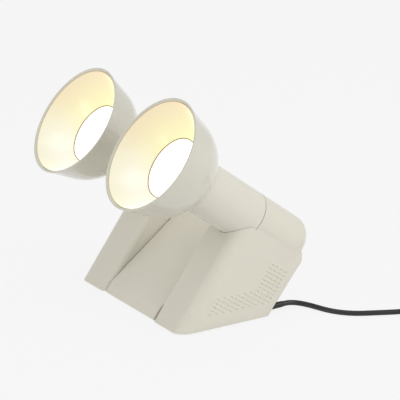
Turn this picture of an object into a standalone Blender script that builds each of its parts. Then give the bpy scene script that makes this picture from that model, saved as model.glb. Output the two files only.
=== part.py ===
"""Table lamp with two swivelling spot heads on turning tubes, on a leaning wedge body.

Metres, +Z up. The lamp looks towards -Y. The origin is the middle of the foot pad's underside.
Most shapes are drawn in the body's own leaning frame: x across, a rearwards along the tubes
and c up the leaning front.
"""
import bpy
import bmesh
from math import atan2, cos, hypot, pi, radians, sin, sqrt, tan
from mathutils import Matrix, Vector

MM = 0.001

# Driving sizes of the body
LEAN = radians(36)
BODY_DEPTH = 87.4 * MM
TUBE_RADIUS = 26.7 * MM
TUBE_SPACING = 150 * MM
AXIS_HEIGHT = 136.7 * MM
SIDE_HALF_WIDTH = 25.8 * MM
WALL = 2.6 * MM
GAP = 0.3 * MM
OVERRUN = 4 * MM
ROUND_STEPS = 36
SMALL_ROUND_STEPS = 30
PIN_STEPS = 10
FRONT_OUTER_ROUNDING = 13 * MM
FRONT_INNER_ROUNDING = 6 * MM
REAR_ROUNDING = 6 * MM
SLEEVE_REAR_ROUNDING = 15 * MM
SLEEVE_SETBACK = 17.3 * MM

# Recessed front and top between the two side shells
FRONT_LIP = 1.5 * MM
RECESS_START = 14 * MM
RECESS_DEPTH = 30 * MM
RECESS_TOP = 112 * MM
RECESS_SHOULDER = 12 * MM
TOP_RISE = 3 * MM
PANEL_FILLET = 5 * MM
REAR_COVER_TOP = 118 * MM

# Foot pad, trays and screws
PAD_PROUD = 2 * MM
PAD_THICKNESS = 1.7 * MM
PAD_HALF_WIDTH = 46 * MM
PAD_MARGIN = 5 * MM
PAD_ROUNDING = 6 * MM
TRAY_THICKNESS = 1.4 * MM
SCREW_RADIUS = 1.5 * MM
SCREW_HEAD_RADIUS = 3 * MM
SCREW_HEAD_HEIGHT = 1.6 * MM
SCREW_CLEARANCE = 0.3 * MM
COVER_SCREW_LENGTH = 9 * MM
COVER_SCREW_INSET = 8 * MM
TRAY_SCREW_LENGTH = 3 * MM

# Vent slots in each outer side wall
VENT_LENGTH = 4.4 * MM
VENT_HEIGHT = 1.6 * MM
VENT_COLUMN_PITCH = 6.2 * MM
VENT_ROW_PITCH = 4.3 * MM
VENT_EDGE = 12 * MM
VENT_FLOOR_EDGE = 15 * MM
VENT_TOP = 108 * MM
VENT_COLUMNS = 10
VENT_REAR_COLUMNS = 4
VENT_LOW_ROWS = 5

# Turning tube, its spigot and the bush in the sleeve
TUBE_WALL = 2.5 * MM
TUBE_LENGTH = 73.4 * MM
SHOULDER = 3 * MM
SPIGOT_RADIUS = 20 * MM
SPIGOT_WALL = 2.5 * MM
SPIGOT_LENGTH = 42 * MM
BORE_RADIUS = 23.7 * MM
BORE_DEPTH = 58 * MM
BUSH_LENGTH = 28 * MM
RETAINER_LENGTH = 5 * MM
SADDLE_CLEARANCE = 0.4 * MM

# Bowl, neck collar and the slanted swivel joint
RIM_RADIUS = 60 * MM
RIM_REACH = 136.3 * MM
SPHERE_RADIUS = 54.5 * MM
SPHERE_SETBACK = 15.4 * MM
BOWL_WALL = 2 * MM
SWIVEL_SLANT = radians(6)
SWIVEL_HALF_ANGLE = radians(40)
SWIVEL_HOLE_RADIUS = 26.1 * MM
SLEEVE_TUBE_WALL = 2.2 * MM
SLEEVE_SEAT = 1.8 * MM
PLATE_THICKNESS = 1.5 * MM
CLAMP_THICKNESS = 2 * MM
CLAMP_WIDTH = 4 * MM
COLLAR_SPIGOT_LENGTH = 8 * MM
COLLAR_WALL = 1.4 * MM

# Reflector liner, reflector lamp and lamp holder
LINER_WALL = 1 * MM
LINER_RIM_RADIUS = 56.6 * MM
LINER_RIM_SETBACK = 1.2 * MM
LINER_OPENING_RADIUS = 32 * MM
LINER_DEPTH = 30 * MM
LAMP_FACE_RADIUS = 33.4 * MM
LAMP_RIM_HEIGHT = 4 * MM
LAMP_BACK_RADIUS = 18 * MM
LAMP_NECK_RADIUS = 9 * MM
LAMP_DEPTH = 33 * MM
LAMP_CAP_RADIUS = 6.5 * MM
LAMP_CAP_LENGTH = 12 * MM
HOLDER_RADIUS = 9 * MM
HOLDER_LENGTH = 14 * MM
HOLDER_FLOOR = 3 * MM

# Transformer, terminal block and leads inside the middle of the body
CORE_WIDTH = 54 * MM
CORE_DEPTH = 34 * MM
CORE_HEIGHT = 40 * MM
CORE_LIMB = 9 * MM
CORE_CENTRE_LIMB = 18 * MM
CORE_SETBACK = 74 * MM
WINDING_CLEARANCE = 0.6 * MM
WINDING_BULGE = 7 * MM
STRAP_THICKNESS = 1.5 * MM
STRAP_OVERHANG = 11 * MM
BLOCK_WIDTH = 30 * MM
BLOCK_DEPTH = 11 * MM
BLOCK_HEIGHT = 9 * MM
BLOCK_SETBACK = 28 * MM
LEAD_RADIUS = 2.1 * MM
LEAD_HOLE_RADIUS = 4.2 * MM
LEAD_WALL_A = 62 * MM
LEAD_WALL_C = 98 * MM
WEB_HOLE_A = 70 * MM
MAINS_WALL_C = 70 * MM

# Mains cord, its strain relief, in-line switch and plug
CORD_RADIUS = 2.75 * MM
RELIEF_X = 88 * MM
RELIEF_HEIGHT = 5.8 * MM
RELIEF_NECK_RADIUS = 3.5 * MM
RELIEF_TIP_RADIUS = 3.1 * MM
RELIEF_INNER_LENGTH = 9 * MM
RELIEF_LENGTH = 20 * MM
SWITCH_LENGTH = 62 * MM
SWITCH_WIDTH = 27 * MM
SWITCH_HEIGHT = 18 * MM
SWITCH_WALL = 2 * MM
SWITCH_SPLIT_SHARE = 0.5
ROCKER_LENGTH = 20 * MM
ROCKER_WIDTH = 10 * MM
ROCKER_RISE = 2.4 * MM
ROCKER_CLEARANCE = 0.5 * MM
ROCKER_SKIRT = 4.5 * MM
ROCKER_TILT = radians(6)
COIL_MEAN_RADIUS = 33 * MM
COIL_PITCH = 6.1 * MM
COIL_LAYER_TURNS = 3
COIL_POINTS_PER_TURN = 24
PLUG_LENGTH = 36 * MM
PLUG_WIDTH = 26 * MM
PLUG_HEIGHT = 14 * MM
PIN_RADIUS = 2 * MM
PIN_LENGTH = 19 * MM
PIN_SPACING = 18.6 * MM

# Worked-out places
FOOT_LENGTH = BODY_DEPTH / cos(LEAN)
ORIGIN_Y = FOOT_LENGTH / 2
SLEEVE_LENGTH = BODY_DEPTH - SLEEVE_SETBACK
SPHERE_CENTRE = RIM_REACH - SPHERE_SETBACK
SWIVEL_PLANE = -SPHERE_RADIUS * cos(SWIVEL_HALF_ANGLE)
SIDE_CENTRE = TUBE_SPACING / 2
MIDDLE_HALF_WIDTH = SIDE_CENTRE - TUBE_RADIUS - GAP
BODY_FRAME = Matrix.Translation((0, -ORIGIN_Y, PAD_PROUD)) @ Matrix.Rotation(-LEAN, 4, "X")
SIDES = {"right": 1, "left": -1}

for old in list(bpy.data.objects):
    bpy.data.objects.remove(old, do_unlink=True)


def material(name, colour, roughness, metallic=0.0):
    "A plain Principled finish."
    made = bpy.data.materials.get(name) or bpy.data.materials.new(name)
    made.use_nodes = True
    shader = made.node_tree.nodes["Principled BSDF"]
    shader.inputs["Base Color"].default_value = (*colour, 1)
    shader.inputs["Roughness"].default_value = roughness
    shader.inputs["Metallic"].default_value = metallic
    return made


IVORY = material("ivory_gloss", (0.78, 0.76, 0.69), 0.3)
IVORY_DARK = material("ivory_satin", (0.70, 0.68, 0.60), 0.5)
BLACK = material("black_rubber", (0.02, 0.02, 0.02), 0.6)
STEEL = material("bright_steel", (0.6, 0.6, 0.6), 0.35, 1.0)
IRON = material("core_iron", (0.2, 0.2, 0.21), 0.5, 0.8)
COPPER = material("wound_copper", (0.6, 0.28, 0.13), 0.4, 0.8)
NYLON = material("white_nylon", (0.85, 0.85, 0.8), 0.5)
LINER_WHITE = material("warm_liner", (0.95, 0.88, 0.7), 0.4)
LAMP_GLASS = material("lit_glass", (1, 0.97, 0.9), 0.2)
CERAMIC = material("white_ceramic", (0.85, 0.83, 0.78), 0.6)


def place(name, mesh_builder, finish, frame):
    "Turns a bmesh into a named object that stands in the given frame."
    bmesh.ops.recalc_face_normals(mesh_builder, faces=mesh_builder.faces)
    mesh = bpy.data.meshes.new(name)
    mesh_builder.to_mesh(mesh)
    mesh_builder.free()
    mesh.materials.append(finish)
    mesh.shade_smooth()
    mesh.set_sharp_from_angle(angle=radians(35))
    made = bpy.data.objects.new(name, mesh)
    made.matrix_world = frame
    bpy.context.scene.collection.objects.link(made)
    return made


def prism_mesh(outline, low, high):
    "An outline of (a, c) points pushed across from low to high x."
    built = bmesh.new()
    near = [built.verts.new((low, a, c)) for a, c in outline]
    far = [built.verts.new((high, a, c)) for a, c in outline]
    built.faces.new(near)
    built.faces.new(list(reversed(far)))
    count = len(outline)
    for i in range(count):
        j = (i + 1) % count
        built.faces.new((near[i], far[i], far[j], near[j]))
    bmesh.ops.recalc_face_normals(built, faces=built.faces)
    return built


def turned_mesh(profile, segments=32, start=0.0):
    "A closed (along, radius) profile turned about the local Z axis. Points on the axis are poles."
    built = bmesh.new()
    rings = []
    for along, radius in profile:
        if radius == 0:
            rings.append([built.verts.new((0, 0, along))])
            continue
        ring = []
        for i in range(segments):
            angle = start + 2 * pi * i / segments
            ring.append(built.verts.new((radius * cos(angle), radius * sin(angle), along)))
        rings.append(ring)
    pairs = list(zip(rings, rings[1:] + rings[:1]))
    for first, second in pairs:
        if len(first) == 1 and len(second) == 1:
            continue
        for i in range(segments):
            j = (i + 1) % segments
            corners = [first[i % len(first)], first[j % len(first)],
                       second[j % len(second)], second[i % len(second)]]
            seen = []
            for corner in corners:
                if corner not in seen:
                    seen.append(corner)
            built.faces.new(seen)
    bmesh.ops.recalc_face_normals(built, faces=built.faces)
    return built


def box_into(built, size, middle, turn=None):
    "Adds one box to a bmesh."
    spot = Matrix.Translation(middle) @ (turn or Matrix.Identity(4)) @ Matrix.Diagonal((*size, 1))
    bmesh.ops.create_cube(built, size=1, matrix=spot)


def rod_into(built, radius, length, spot, segments=8):
    "Adds one rod along the local Z of a place, centred on it."
    bmesh.ops.create_cone(built, cap_ends=True, segments=segments, radius1=radius, radius2=radius,
                          depth=length, matrix=spot)


def cut(target, cutter, operation="DIFFERENCE"):
    "Cuts or joins a piece with a hidden tool shape."
    cutter.hide_render = True
    cutter.display_type = "WIRE"
    step = target.modifiers.new(cutter.name, "BOOLEAN")
    step.operation = operation
    step.solver = "EXACT"
    step.object = cutter


def round_edges(built, test, width, segments):
    "Rounds the edges that pass a test of their two ends."
    chosen = [edge for edge in built.edges if test(edge.verts[0].co, edge.verts[1].co)]
    bmesh.ops.bevel(built, geom=chosen, offset=width, segments=segments, affect="EDGES", profile=0.5)


def fillet(path, radius, steps=3):
    "Rounds the inner corners of an open path of (a, c) points."
    rounded = [path[0]]
    for before, corner, after in zip(path, path[1:], path[2:]):
        here = Vector(corner)
        inward = (Vector(before) - here).normalized()
        outward = (Vector(after) - here).normalized()
        first = here + inward * radius
        last = here + outward * radius
        for i in range(steps + 1):
            share = i / steps
            point = first * (1 - share) ** 2 + here * 2 * share * (1 - share) + last * share ** 2
            rounded.append(tuple(point))
    rounded.append(path[-1])
    return rounded


def inset_path(path, distance):
    "The same open path, moved to its right-hand side by the wall's thickness."
    moved = []
    count = len(path)
    for i in range(count):
        before = Vector(path[max(i - 1, 0)])
        after = Vector(path[min(i + 1, count - 1)])
        here = Vector(path[i])
        into = (here - before).normalized() if i else (after - here).normalized()
        out = (after - here).normalized() if i < count - 1 else into
        side_in = Vector((into.y, -into.x))
        side_out = Vector((out.y, -out.x))
        blend = (side_in + side_out).normalized()
        moved.append(tuple(here + blend * (distance / max(blend.dot(side_in), 0.3))))
    return moved


def floor_at(a, height=0.0):
    "The c of a level plane, a height above the body's underside, at depth a."
    return (height + a * sin(LEAN)) / cos(LEAN)


def level_slab(front, rear, low, high):
    "The (a, c) outline of a level plate inside the leaning body."
    return [(front, floor_at(front, low)), (rear, floor_at(rear, low)),
            (rear, floor_at(rear, high)), (front, floor_at(front, high))]


def arc(centre, radius, start, stop, steps):
    "Points (along, radius) on an arc."
    angles = [start + (stop - start) * i / steps for i in range(steps + 1)]
    return [(centre[0] + radius * cos(angle), centre[1] + radius * sin(angle)) for angle in angles]


def axis_frame(side):
    "At the sleeve's mouth, on the tube's axis: Z runs forwards, Y up the leaning front."
    spot = Matrix.Translation((side * SIDE_CENTRE, SLEEVE_SETBACK, AXIS_HEIGHT))
    return BODY_FRAME @ spot @ Matrix.Rotation(pi / 2, 4, "X")


def head_frame(side):
    "At the middle of the bowl's ball, on the tube's axis."
    return axis_frame(side) @ Matrix.Translation((0, 0, SPHERE_CENTRE))


def swivel_frame(side):
    "At the middle of the bowl's ball, with Z along the slanted swivel axis."
    return head_frame(side) @ Matrix.Rotation(SWIVEL_SLANT, 4, "X")


def rear_screw_spots():
    "The four corners of the rear cover, in the body's frame."
    low = floor_at(BODY_DEPTH) + COVER_SCREW_INSET
    high = REAR_COVER_TOP - COVER_SCREW_INSET
    across = MIDDLE_HALF_WIDTH - COVER_SCREW_INSET
    return [(x, BODY_DEPTH, c) for x in (-across, across) for c in (low, high)]


def upright(x, a):
    "A test for the edges that rise along the leaning front at one corner."
    def test(one, two):
        return all(abs(end.x - x) < GAP and abs(end.y - a) < GAP for end in (one, two))
    return test


def side_shell(name, side):
    "One side moulding: a hollow leaning box whose top is the sleeve of the turning tube."
    low = side * SIDE_CENTRE - SIDE_HALF_WIDTH
    high = side * SIDE_CENTRE + SIDE_HALF_WIDTH
    outer_x = high if side > 0 else low
    inner_x = low if side > 0 else high
    shoulder = (BODY_DEPTH - SLEEVE_REAR_ROUNDING, AXIS_HEIGHT - SLEEVE_REAR_ROUNDING)
    outline = [(0, 0), (BODY_DEPTH, floor_at(BODY_DEPTH))]
    outline += arc(shoulder, SLEEVE_REAR_ROUNDING, 0, pi / 2, 4)
    built = prism_mesh(outline + [(0, AXIS_HEIGHT)], low, high)
    round_edges(built, upright(outer_x, 0), FRONT_OUTER_ROUNDING, 5)
    round_edges(built, upright(inner_x, 0), FRONT_INNER_ROUNDING, 3)
    round_edges(built, upright(outer_x, BODY_DEPTH), REAR_ROUNDING, 3)
    shell = place(name, built, IVORY, BODY_FRAME)
    saddle_radius = TUBE_RADIUS + SADDLE_CLEARANCE
    reach = SLEEVE_SETBACK + OVERRUN
    saddle = turned_mesh(ring_profile(0, reach, 0, saddle_radius), SMALL_ROUND_STEPS)
    cut(shell, place(name + "_saddle_tool", saddle, IVORY, axis_frame(side)))

    rear = -SLEEVE_LENGTH
    rounding = arc((rear + SLEEVE_REAR_ROUNDING, TUBE_RADIUS - SLEEVE_REAR_ROUNDING), SLEEVE_REAR_ROUNDING,
                   pi, pi / 2, 4)
    sleeve = turned_mesh([(rear, 0)] + rounding + [(-GAP, TUBE_RADIUS), (-GAP, 0)], SMALL_ROUND_STEPS)
    cut(shell, place(name + "_sleeve_tool", sleeve, IVORY, axis_frame(side)), "UNION")

    front = WALL
    back = BODY_DEPTH - WALL
    ceiling = AXIS_HEIGHT - saddle_radius - WALL
    hollow = [(front, floor_at(front) - OVERRUN), (back, floor_at(back) - OVERRUN),
              (back, ceiling), (front, ceiling)]
    room = prism_mesh(hollow, low + WALL, high - WALL)
    round_edges(room, upright(outer_x - side * WALL, front), FRONT_OUTER_ROUNDING - WALL, 5)
    cut(shell, place(name + "_hollow_tool", room, IVORY, BODY_FRAME))

    bore = ring_profile(-BORE_DEPTH, OVERRUN, 0, BORE_RADIUS)
    bore = turned_mesh(bore, SMALL_ROUND_STEPS)
    cut(shell, place(name + "_bore_tool", bore, IVORY, axis_frame(side)))

    holes = bmesh.new()
    across = Matrix.Rotation(pi / 2, 4, "Y")
    for c in (LEAD_WALL_C, MAINS_WALL_C) if side > 0 else (LEAD_WALL_C,):
        wall_spot = Matrix.Translation((inner_x, LEAD_WALL_A, c))
        rod_into(holes, LEAD_HOLE_RADIUS, 2 * OVERRUN, wall_spot @ across)
    web_middle = (side * SIDE_CENTRE, WEB_HOLE_A, ceiling)
    rod_into(holes, LEAD_HOLE_RADIUS, 4 * OVERRUN, Matrix.Translation(web_middle))
    cut(shell, place(name + "_lead_tool", holes, IVORY, BODY_FRAME))

    slots = bmesh.new()
    for column in range(VENT_COLUMNS):
        a = BODY_DEPTH - VENT_EDGE - column * VENT_COLUMN_PITCH
        c = floor_at(a, VENT_FLOOR_EDGE)
        row = 0
        while c < VENT_TOP and (column < VENT_REAR_COLUMNS or row < VENT_LOW_ROWS):
            box_into(slots, (2 * OVERRUN, VENT_LENGTH, VENT_HEIGHT), (outer_x, a, c))
            c += VENT_ROW_PITCH
            row += 1
    cut(shell, place(name + "_vent_tool", slots, IVORY, BODY_FRAME))

    if side > 0:
        passage = bmesh.new()
        rod_into(passage, RELIEF_NECK_RADIUS + GAP, 8 * OVERRUN, relief_frame(), 16)
        cut(shell, place(name + "_relief_tool", passage, IVORY, Matrix.Identity(4)))
    return shell


def relief_frame():
    "Where the cord leaves the rear wall: Z runs level to the rear."
    y = BODY_DEPTH / cos(LEAN) + (RELIEF_HEIGHT - PAD_PROUD) * tan(LEAN) - ORIGIN_Y
    return Matrix.Translation((RELIEF_X, y, RELIEF_HEIGHT)) @ Matrix.Rotation(-pi / 2, 4, "X")


def side_tray(name, side):
    "The plate that closes the underside of a side moulding."
    inner = SIDE_HALF_WIDTH - WALL - GAP
    front = WALL + GAP
    rear = BODY_DEPTH - WALL - RELIEF_INNER_LENGTH
    outline = level_slab(front, rear, 0, TRAY_THICKNESS)
    built = prism_mesh(outline, side * SIDE_CENTRE - inner, side * SIDE_CENTRE + inner)
    round_edges(built, upright(side * (SIDE_CENTRE + inner), front), FRONT_OUTER_ROUNDING - WALL, 5)
    return place(name, built, IVORY_DARK, BODY_FRAME)


def middle_shell():
    "The recessed front and top between the side mouldings, one bent wall."
    top = AXIS_HEIGHT + TOP_RISE
    path = [(FRONT_LIP, floor_at(FRONT_LIP)), (FRONT_LIP, RECESS_START), (RECESS_DEPTH, RECESS_TOP),
            (RECESS_DEPTH + RECESS_SHOULDER, top), (BODY_DEPTH - PANEL_FILLET, top),
            (BODY_DEPTH, top - PANEL_FILLET), (BODY_DEPTH, REAR_COVER_TOP)]
    path = fillet(path, PANEL_FILLET / 2)
    outline = path + list(reversed(inset_path(path, WALL)))
    built = prism_mesh(outline, -MIDDLE_HALF_WIDTH, MIDDLE_HALF_WIDTH)
    return place("middle_shell", built, IVORY, BODY_FRAME)


def rear_cover():
    "The flat plate that closes the back of the middle, held by four screws."
    low = floor_at(BODY_DEPTH)
    high = REAR_COVER_TOP - GAP
    outline = [(BODY_DEPTH - WALL, low), (BODY_DEPTH, low), (BODY_DEPTH, high), (BODY_DEPTH - WALL, high)]
    built = prism_mesh(outline, -MIDDLE_HALF_WIDTH, MIDDLE_HALF_WIDTH)
    cover = place("rear_cover", built, IVORY, BODY_FRAME)
    holes = bmesh.new()
    turn = Matrix.Rotation(pi / 2, 4, "X")
    for spot in rear_screw_spots():
        rod_into(holes, SCREW_RADIUS + SCREW_CLEARANCE, 4 * WALL, Matrix.Translation(spot) @ turn)
    cut(cover, place("rear_cover_hole_tool", holes, IVORY, BODY_FRAME))


def screws(name, spots, turn, length, finish):
    "Like screws, each a head and a shank in one turned solid."
    profile = [(-length, 0), (-length, SCREW_RADIUS), (GAP, SCREW_RADIUS), (GAP, SCREW_HEAD_RADIUS),
               (GAP + SCREW_HEAD_HEIGHT, SCREW_HEAD_RADIUS), (GAP + SCREW_HEAD_HEIGHT, 0)]
    for number, spot in enumerate(spots, 1):
        made = turned_mesh(profile, PIN_STEPS)
        place(f"{name}_{number}", made, finish, BODY_FRAME @ Matrix.Translation(spot) @ turn)


def tray_screw_spots():
    "The four screws through the transformer's strap and the tray, in the body's frame."
    across = CORE_WIDTH / 2 + STRAP_OVERHANG / 2
    level = BODY_FRAME.inverted()
    middle = -ORIGIN_Y + CORE_SETBACK
    reach = CORE_DEPTH / 2 - SCREW_HEAD_RADIUS
    height = PAD_PROUD + TRAY_THICKNESS + GAP + STRAP_THICKNESS
    return [level @ Vector((x, middle + y, height)) for x in (-across, across) for y in (-reach, reach)]


def upright_turn():
    "Turns a piece drawn upright so that it stands level in the leaning frame."
    return Matrix.Rotation(LEAN, 4, "X")


def middle_tray():
    "The steel tray under the middle, which carries the transformer."
    front = FRONT_LIP + WALL + GAP
    rear = BODY_DEPTH - WALL - GAP
    outline = level_slab(front, rear, 0, TRAY_THICKNESS)
    built = prism_mesh(outline, -MIDDLE_HALF_WIDTH, MIDDLE_HALF_WIDTH)
    tray = place("middle_tray", built, STEEL, BODY_FRAME)
    holes = bmesh.new()
    for spot in tray_screw_spots():
        upright_spot = Matrix.Translation(spot) @ upright_turn()
        rod_into(holes, SCREW_RADIUS + SCREW_CLEARANCE, 8 * OVERRUN, upright_spot)
    cut(tray, place("tray_hole_tool", holes, STEEL, BODY_FRAME))


def foot_pad():
    "The dark pad that the lamp stands on."
    built = bmesh.new()
    length = FOOT_LENGTH - 2 * PAD_MARGIN
    box_into(built, (2 * PAD_HALF_WIDTH, length, PAD_THICKNESS), (0, 0, PAD_THICKNESS / 2))
    round_edges(built, lambda one, two: abs(one.z - two.z) > GAP, PAD_ROUNDING, 4)
    return place("foot_pad", built, BLACK, Matrix.Identity(4))


def transformer():
    "A laminated core with its winding, held down by a strap: the weight in the base."
    base = PAD_PROUD + TRAY_THICKNESS + GAP
    spot = Matrix.Translation((0, CORE_SETBACK - ORIGIN_Y, base))
    strap = bmesh.new()
    width = CORE_WIDTH + 2 * STRAP_OVERHANG
    box_into(strap, (width, CORE_DEPTH, STRAP_THICKNESS), (0, 0, STRAP_THICKNESS / 2))
    strap_piece = place("transformer_strap", strap, STEEL, spot)
    holes = bmesh.new()
    for screw_spot in tray_screw_spots():
        level_spot = Matrix.Translation(BODY_FRAME @ screw_spot)
        rod_into(holes, SCREW_RADIUS + SCREW_CLEARANCE, 8 * OVERRUN, level_spot)
    cut(strap_piece, place("strap_hole_tool", holes, STEEL, Matrix.Identity(4)))

    rise = STRAP_THICKNESS + GAP
    core = bmesh.new()
    box_into(core, (CORE_WIDTH, CORE_DEPTH, CORE_HEIGHT), (0, 0, rise + CORE_HEIGHT / 2))
    core_piece = place("transformer_core", core, IRON, spot)
    window = (CORE_WIDTH - CORE_CENTRE_LIMB - 2 * CORE_LIMB) / 2
    window_height = CORE_HEIGHT - 2 * CORE_LIMB
    windows = bmesh.new()
    for side in SIDES.values():
        middle = (side * (CORE_CENTRE_LIMB + window) / 2, 0, rise + CORE_HEIGHT / 2)
        box_into(windows, (window, CORE_DEPTH + 2 * OVERRUN, window_height), middle)
    cut(core_piece, place("core_window_tool", windows, IRON, spot))

    winding = bmesh.new()
    half = CORE_CENTRE_LIMB / 2
    outer_x = half + window - WINDING_CLEARANCE
    outer_y = CORE_DEPTH / 2 + WINDING_BULGE
    height = window_height - 2 * WINDING_CLEARANCE
    box_into(winding, (2 * outer_x, 2 * outer_y, height), (0, 0, rise + CORE_HEIGHT / 2))
    winding_piece = place("transformer_winding", winding, COPPER, spot)
    limb = bmesh.new()
    inner = (CORE_CENTRE_LIMB + 2 * WINDING_CLEARANCE, CORE_DEPTH + 2 * WINDING_CLEARANCE, 2 * CORE_HEIGHT)
    box_into(limb, inner, (0, 0, rise + CORE_HEIGHT / 2))
    cut(winding_piece, place("winding_limb_tool", limb, COPPER, spot))


def terminal_block():
    "The screw block where the leads meet the transformer."
    built = bmesh.new()
    base = PAD_PROUD + TRAY_THICKNESS + GAP
    box_into(built, (BLOCK_WIDTH, BLOCK_DEPTH, BLOCK_HEIGHT), (0, 0, BLOCK_HEIGHT / 2))
    round_edges(built, lambda one, two: abs(one.x - two.x) > GAP, BLOCK_HEIGHT / 6, 2)
    spot = Matrix.Translation((0, BLOCK_SETBACK - ORIGIN_Y, base))
    return place("terminal_block", built, NYLON, spot)


def smooth_points(route, count):
    "Evenly read points on a smooth curve through a route's own points."
    fine = []
    last = len(route) - 1
    for i in range(last):
        before, here, there, after = (Vector(route[min(max(k, 0), last)]) for k in (i - 1, i, i + 1, i + 2))
        for step in range(24):
            t = step / 24
            fine.append(0.5 * (2 * here + (there - before) * t
                               + (2 * before - 5 * here + 4 * there - after) * t ** 2
                               + (3 * here - before - 3 * there + after) * t ** 3))
    fine.append(Vector(route[-1]))
    lengths = [0.0]
    for one, two in zip(fine, fine[1:]):
        lengths.append(lengths[-1] + (two - one).length)
    points = []
    k = 0
    for i in range(count):
        goal = lengths[-1] * i / (count - 1)
        while k < len(fine) - 2 and lengths[k + 1] < goal:
            k += 1
        span = lengths[k + 1] - lengths[k]
        points.append(fine[k].lerp(fine[k + 1], (goal - lengths[k]) / span))
    return points


def tube_along(name, points, radius, finish, resolution, frame=None):
    "A round tube along points, with filled ends."
    curve = bpy.data.curves.new(name, "CURVE")
    curve.dimensions = "3D"
    curve.bevel_depth = radius
    curve.bevel_resolution = resolution
    curve.use_fill_caps = True
    line = curve.splines.new("POLY")
    line.points.add(len(points) - 1)
    for spot, point in zip(line.points, points):
        spot.co = (*point, 1)
    curve.materials.append(finish)
    made = bpy.data.objects.new(name, curve)
    made.matrix_world = frame or Matrix.Identity(4)
    bpy.context.scene.collection.objects.link(made)
    return made


# The mains lead's bends before and after the wall, chosen by hand, in millimetres from the origin
MAINS_START_MM = [(88, 42, 6.2), (84, 34, 8.5), (72, 30, 13), (61, 34, 19)]
MAINS_END_MM = [(42.9, 33, 21), (42.4, 20, 15), (42.2, 0, 11), (40, -17, 9.2), (30, -25, 8.4),
                (20, -26, 8.2)]


def head_leads():
    "The low-voltage lead from the block through a side wall to the middle of each tube."
    level = BODY_FRAME.inverted()
    block_y = BLOCK_SETBACK - ORIGIN_Y
    block_top = PAD_PROUD + TRAY_THICKNESS + GAP + BLOCK_HEIGHT
    for word, side in SIDES.items():
        start = level @ Vector((side * BLOCK_WIDTH / 4, block_y, block_top + LEAD_RADIUS + 2 * GAP))
        beside_x = side * (CORE_WIDTH / 2 + STRAP_OVERHANG)
        beside = level @ Vector((beside_x, block_y + BLOCK_DEPTH, block_top + 2 * LEAD_RADIUS))
        rising_x = side * (MIDDLE_HALF_WIDTH - 3 * WALL)
        rising = level @ Vector((rising_x, block_y + 3 * BLOCK_DEPTH, CORE_HEIGHT))
        wall_x = side * (SIDE_CENTRE - SIDE_HALF_WIDTH)
        inside_x = wall_x - side * 3 * WALL
        beyond_x = wall_x + side * 2 * WALL
        route = [start, beside, rising,
                 (inside_x, LEAD_WALL_A, LEAD_WALL_C), (beyond_x, LEAD_WALL_A, LEAD_WALL_C),
                 (side * SIDE_CENTRE, WEB_HOLE_A, LEAD_WALL_C + 2 * WALL),
                 (side * SIDE_CENTRE, WEB_HOLE_A, LEAD_WALL_C + 6 * WALL),
                 (side * SIDE_CENTRE, WEB_HOLE_A, AXIS_HEIGHT - BORE_RADIUS / 4)]
        tube_along(word + "_lead", smooth_points(route, 22), LEAD_RADIUS, BLACK, 1, BODY_FRAME)


def mains_lead():
    "The mains lead inside, from the strain relief through the right side wall to the block."
    block_end = (BLOCK_WIDTH / 2 + 2 * GAP, BLOCK_SETBACK - ORIGIN_Y,
                 PAD_PROUD + TRAY_THICKNESS + GAP + BLOCK_HEIGHT / 2)
    relief_end = relief_frame() @ Vector((0, 0, -RELIEF_INNER_LENGTH - 2 * GAP))
    hole = BODY_FRAME @ Vector((SIDE_CENTRE - SIDE_HALF_WIDTH + WALL / 2, LEAD_WALL_A, MAINS_WALL_C))
    through = Vector((2 * WALL, 0, 0))
    route = [relief_end] + [Vector([value * MM for value in point]) for point in MAINS_START_MM]
    route += [hole + through, hole, hole - through]
    route += [Vector([value * MM for value in point]) for point in MAINS_END_MM] + [Vector(block_end)]
    tube_along("mains_lead", smooth_points(route, 24), LEAD_RADIUS, BLACK, 1)


def tube_profile():
    "Turning tube: full-size front, a shoulder at the sleeve's mouth and a spigot into the bush."
    inner = TUBE_RADIUS - TUBE_WALL
    spigot_inner = SPIGOT_RADIUS - SPIGOT_WALL
    front = TUBE_LENGTH
    return [(-SPIGOT_LENGTH, spigot_inner), (-SPIGOT_LENGTH, SPIGOT_RADIUS), (GAP, SPIGOT_RADIUS),
            (GAP, TUBE_RADIUS), (front, TUBE_RADIUS), (front, inner),
            (GAP + SHOULDER, inner), (GAP + SHOULDER, spigot_inner)]


def ring_profile(low, high, inner, outer):
    "A plain ring."
    return [(low, inner), (low, outer), (high, outer), (high, inner)]


def bowl_outline(radius_loss):
    "Bowl from its rim to the pole behind it: a straight flare that runs into a ball."
    ball = SPHERE_RADIUS - radius_loss
    rim = RIM_RADIUS - radius_loss
    front = SPHERE_SETBACK
    reach = hypot(front, rim)
    lean = atan2(rim, front)
    spread = sqrt(reach ** 2 - ball ** 2)
    touch = lean + atan2(spread, ball)
    return [(front, rim)] + arc((0, 0), ball, touch, pi, 7)


def bowl(name, side):
    "The glossy bowl, a thin wall with a flat slanted mouth at its back."
    outer = bowl_outline(0)
    inner = bowl_outline(BOWL_WALL)
    outer[-1] = (outer[-1][0], 0)
    inner[-1] = (inner[-1][0], 0)
    profile = outer + list(reversed(inner))
    made = place(name, turned_mesh(profile, ROUND_STEPS), IVORY, head_frame(side))
    depth = SPHERE_RADIUS + OVERRUN + SWIVEL_PLANE
    block = turned_mesh(ring_profile(-depth, 0, 0, SPHERE_RADIUS), SMALL_ROUND_STEPS)
    cut(made, place(name + "_mouth_tool", block, IVORY,
                    swivel_frame(side) @ Matrix.Translation((0, 0, SWIVEL_PLANE + GAP / 2))))
    return made


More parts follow.
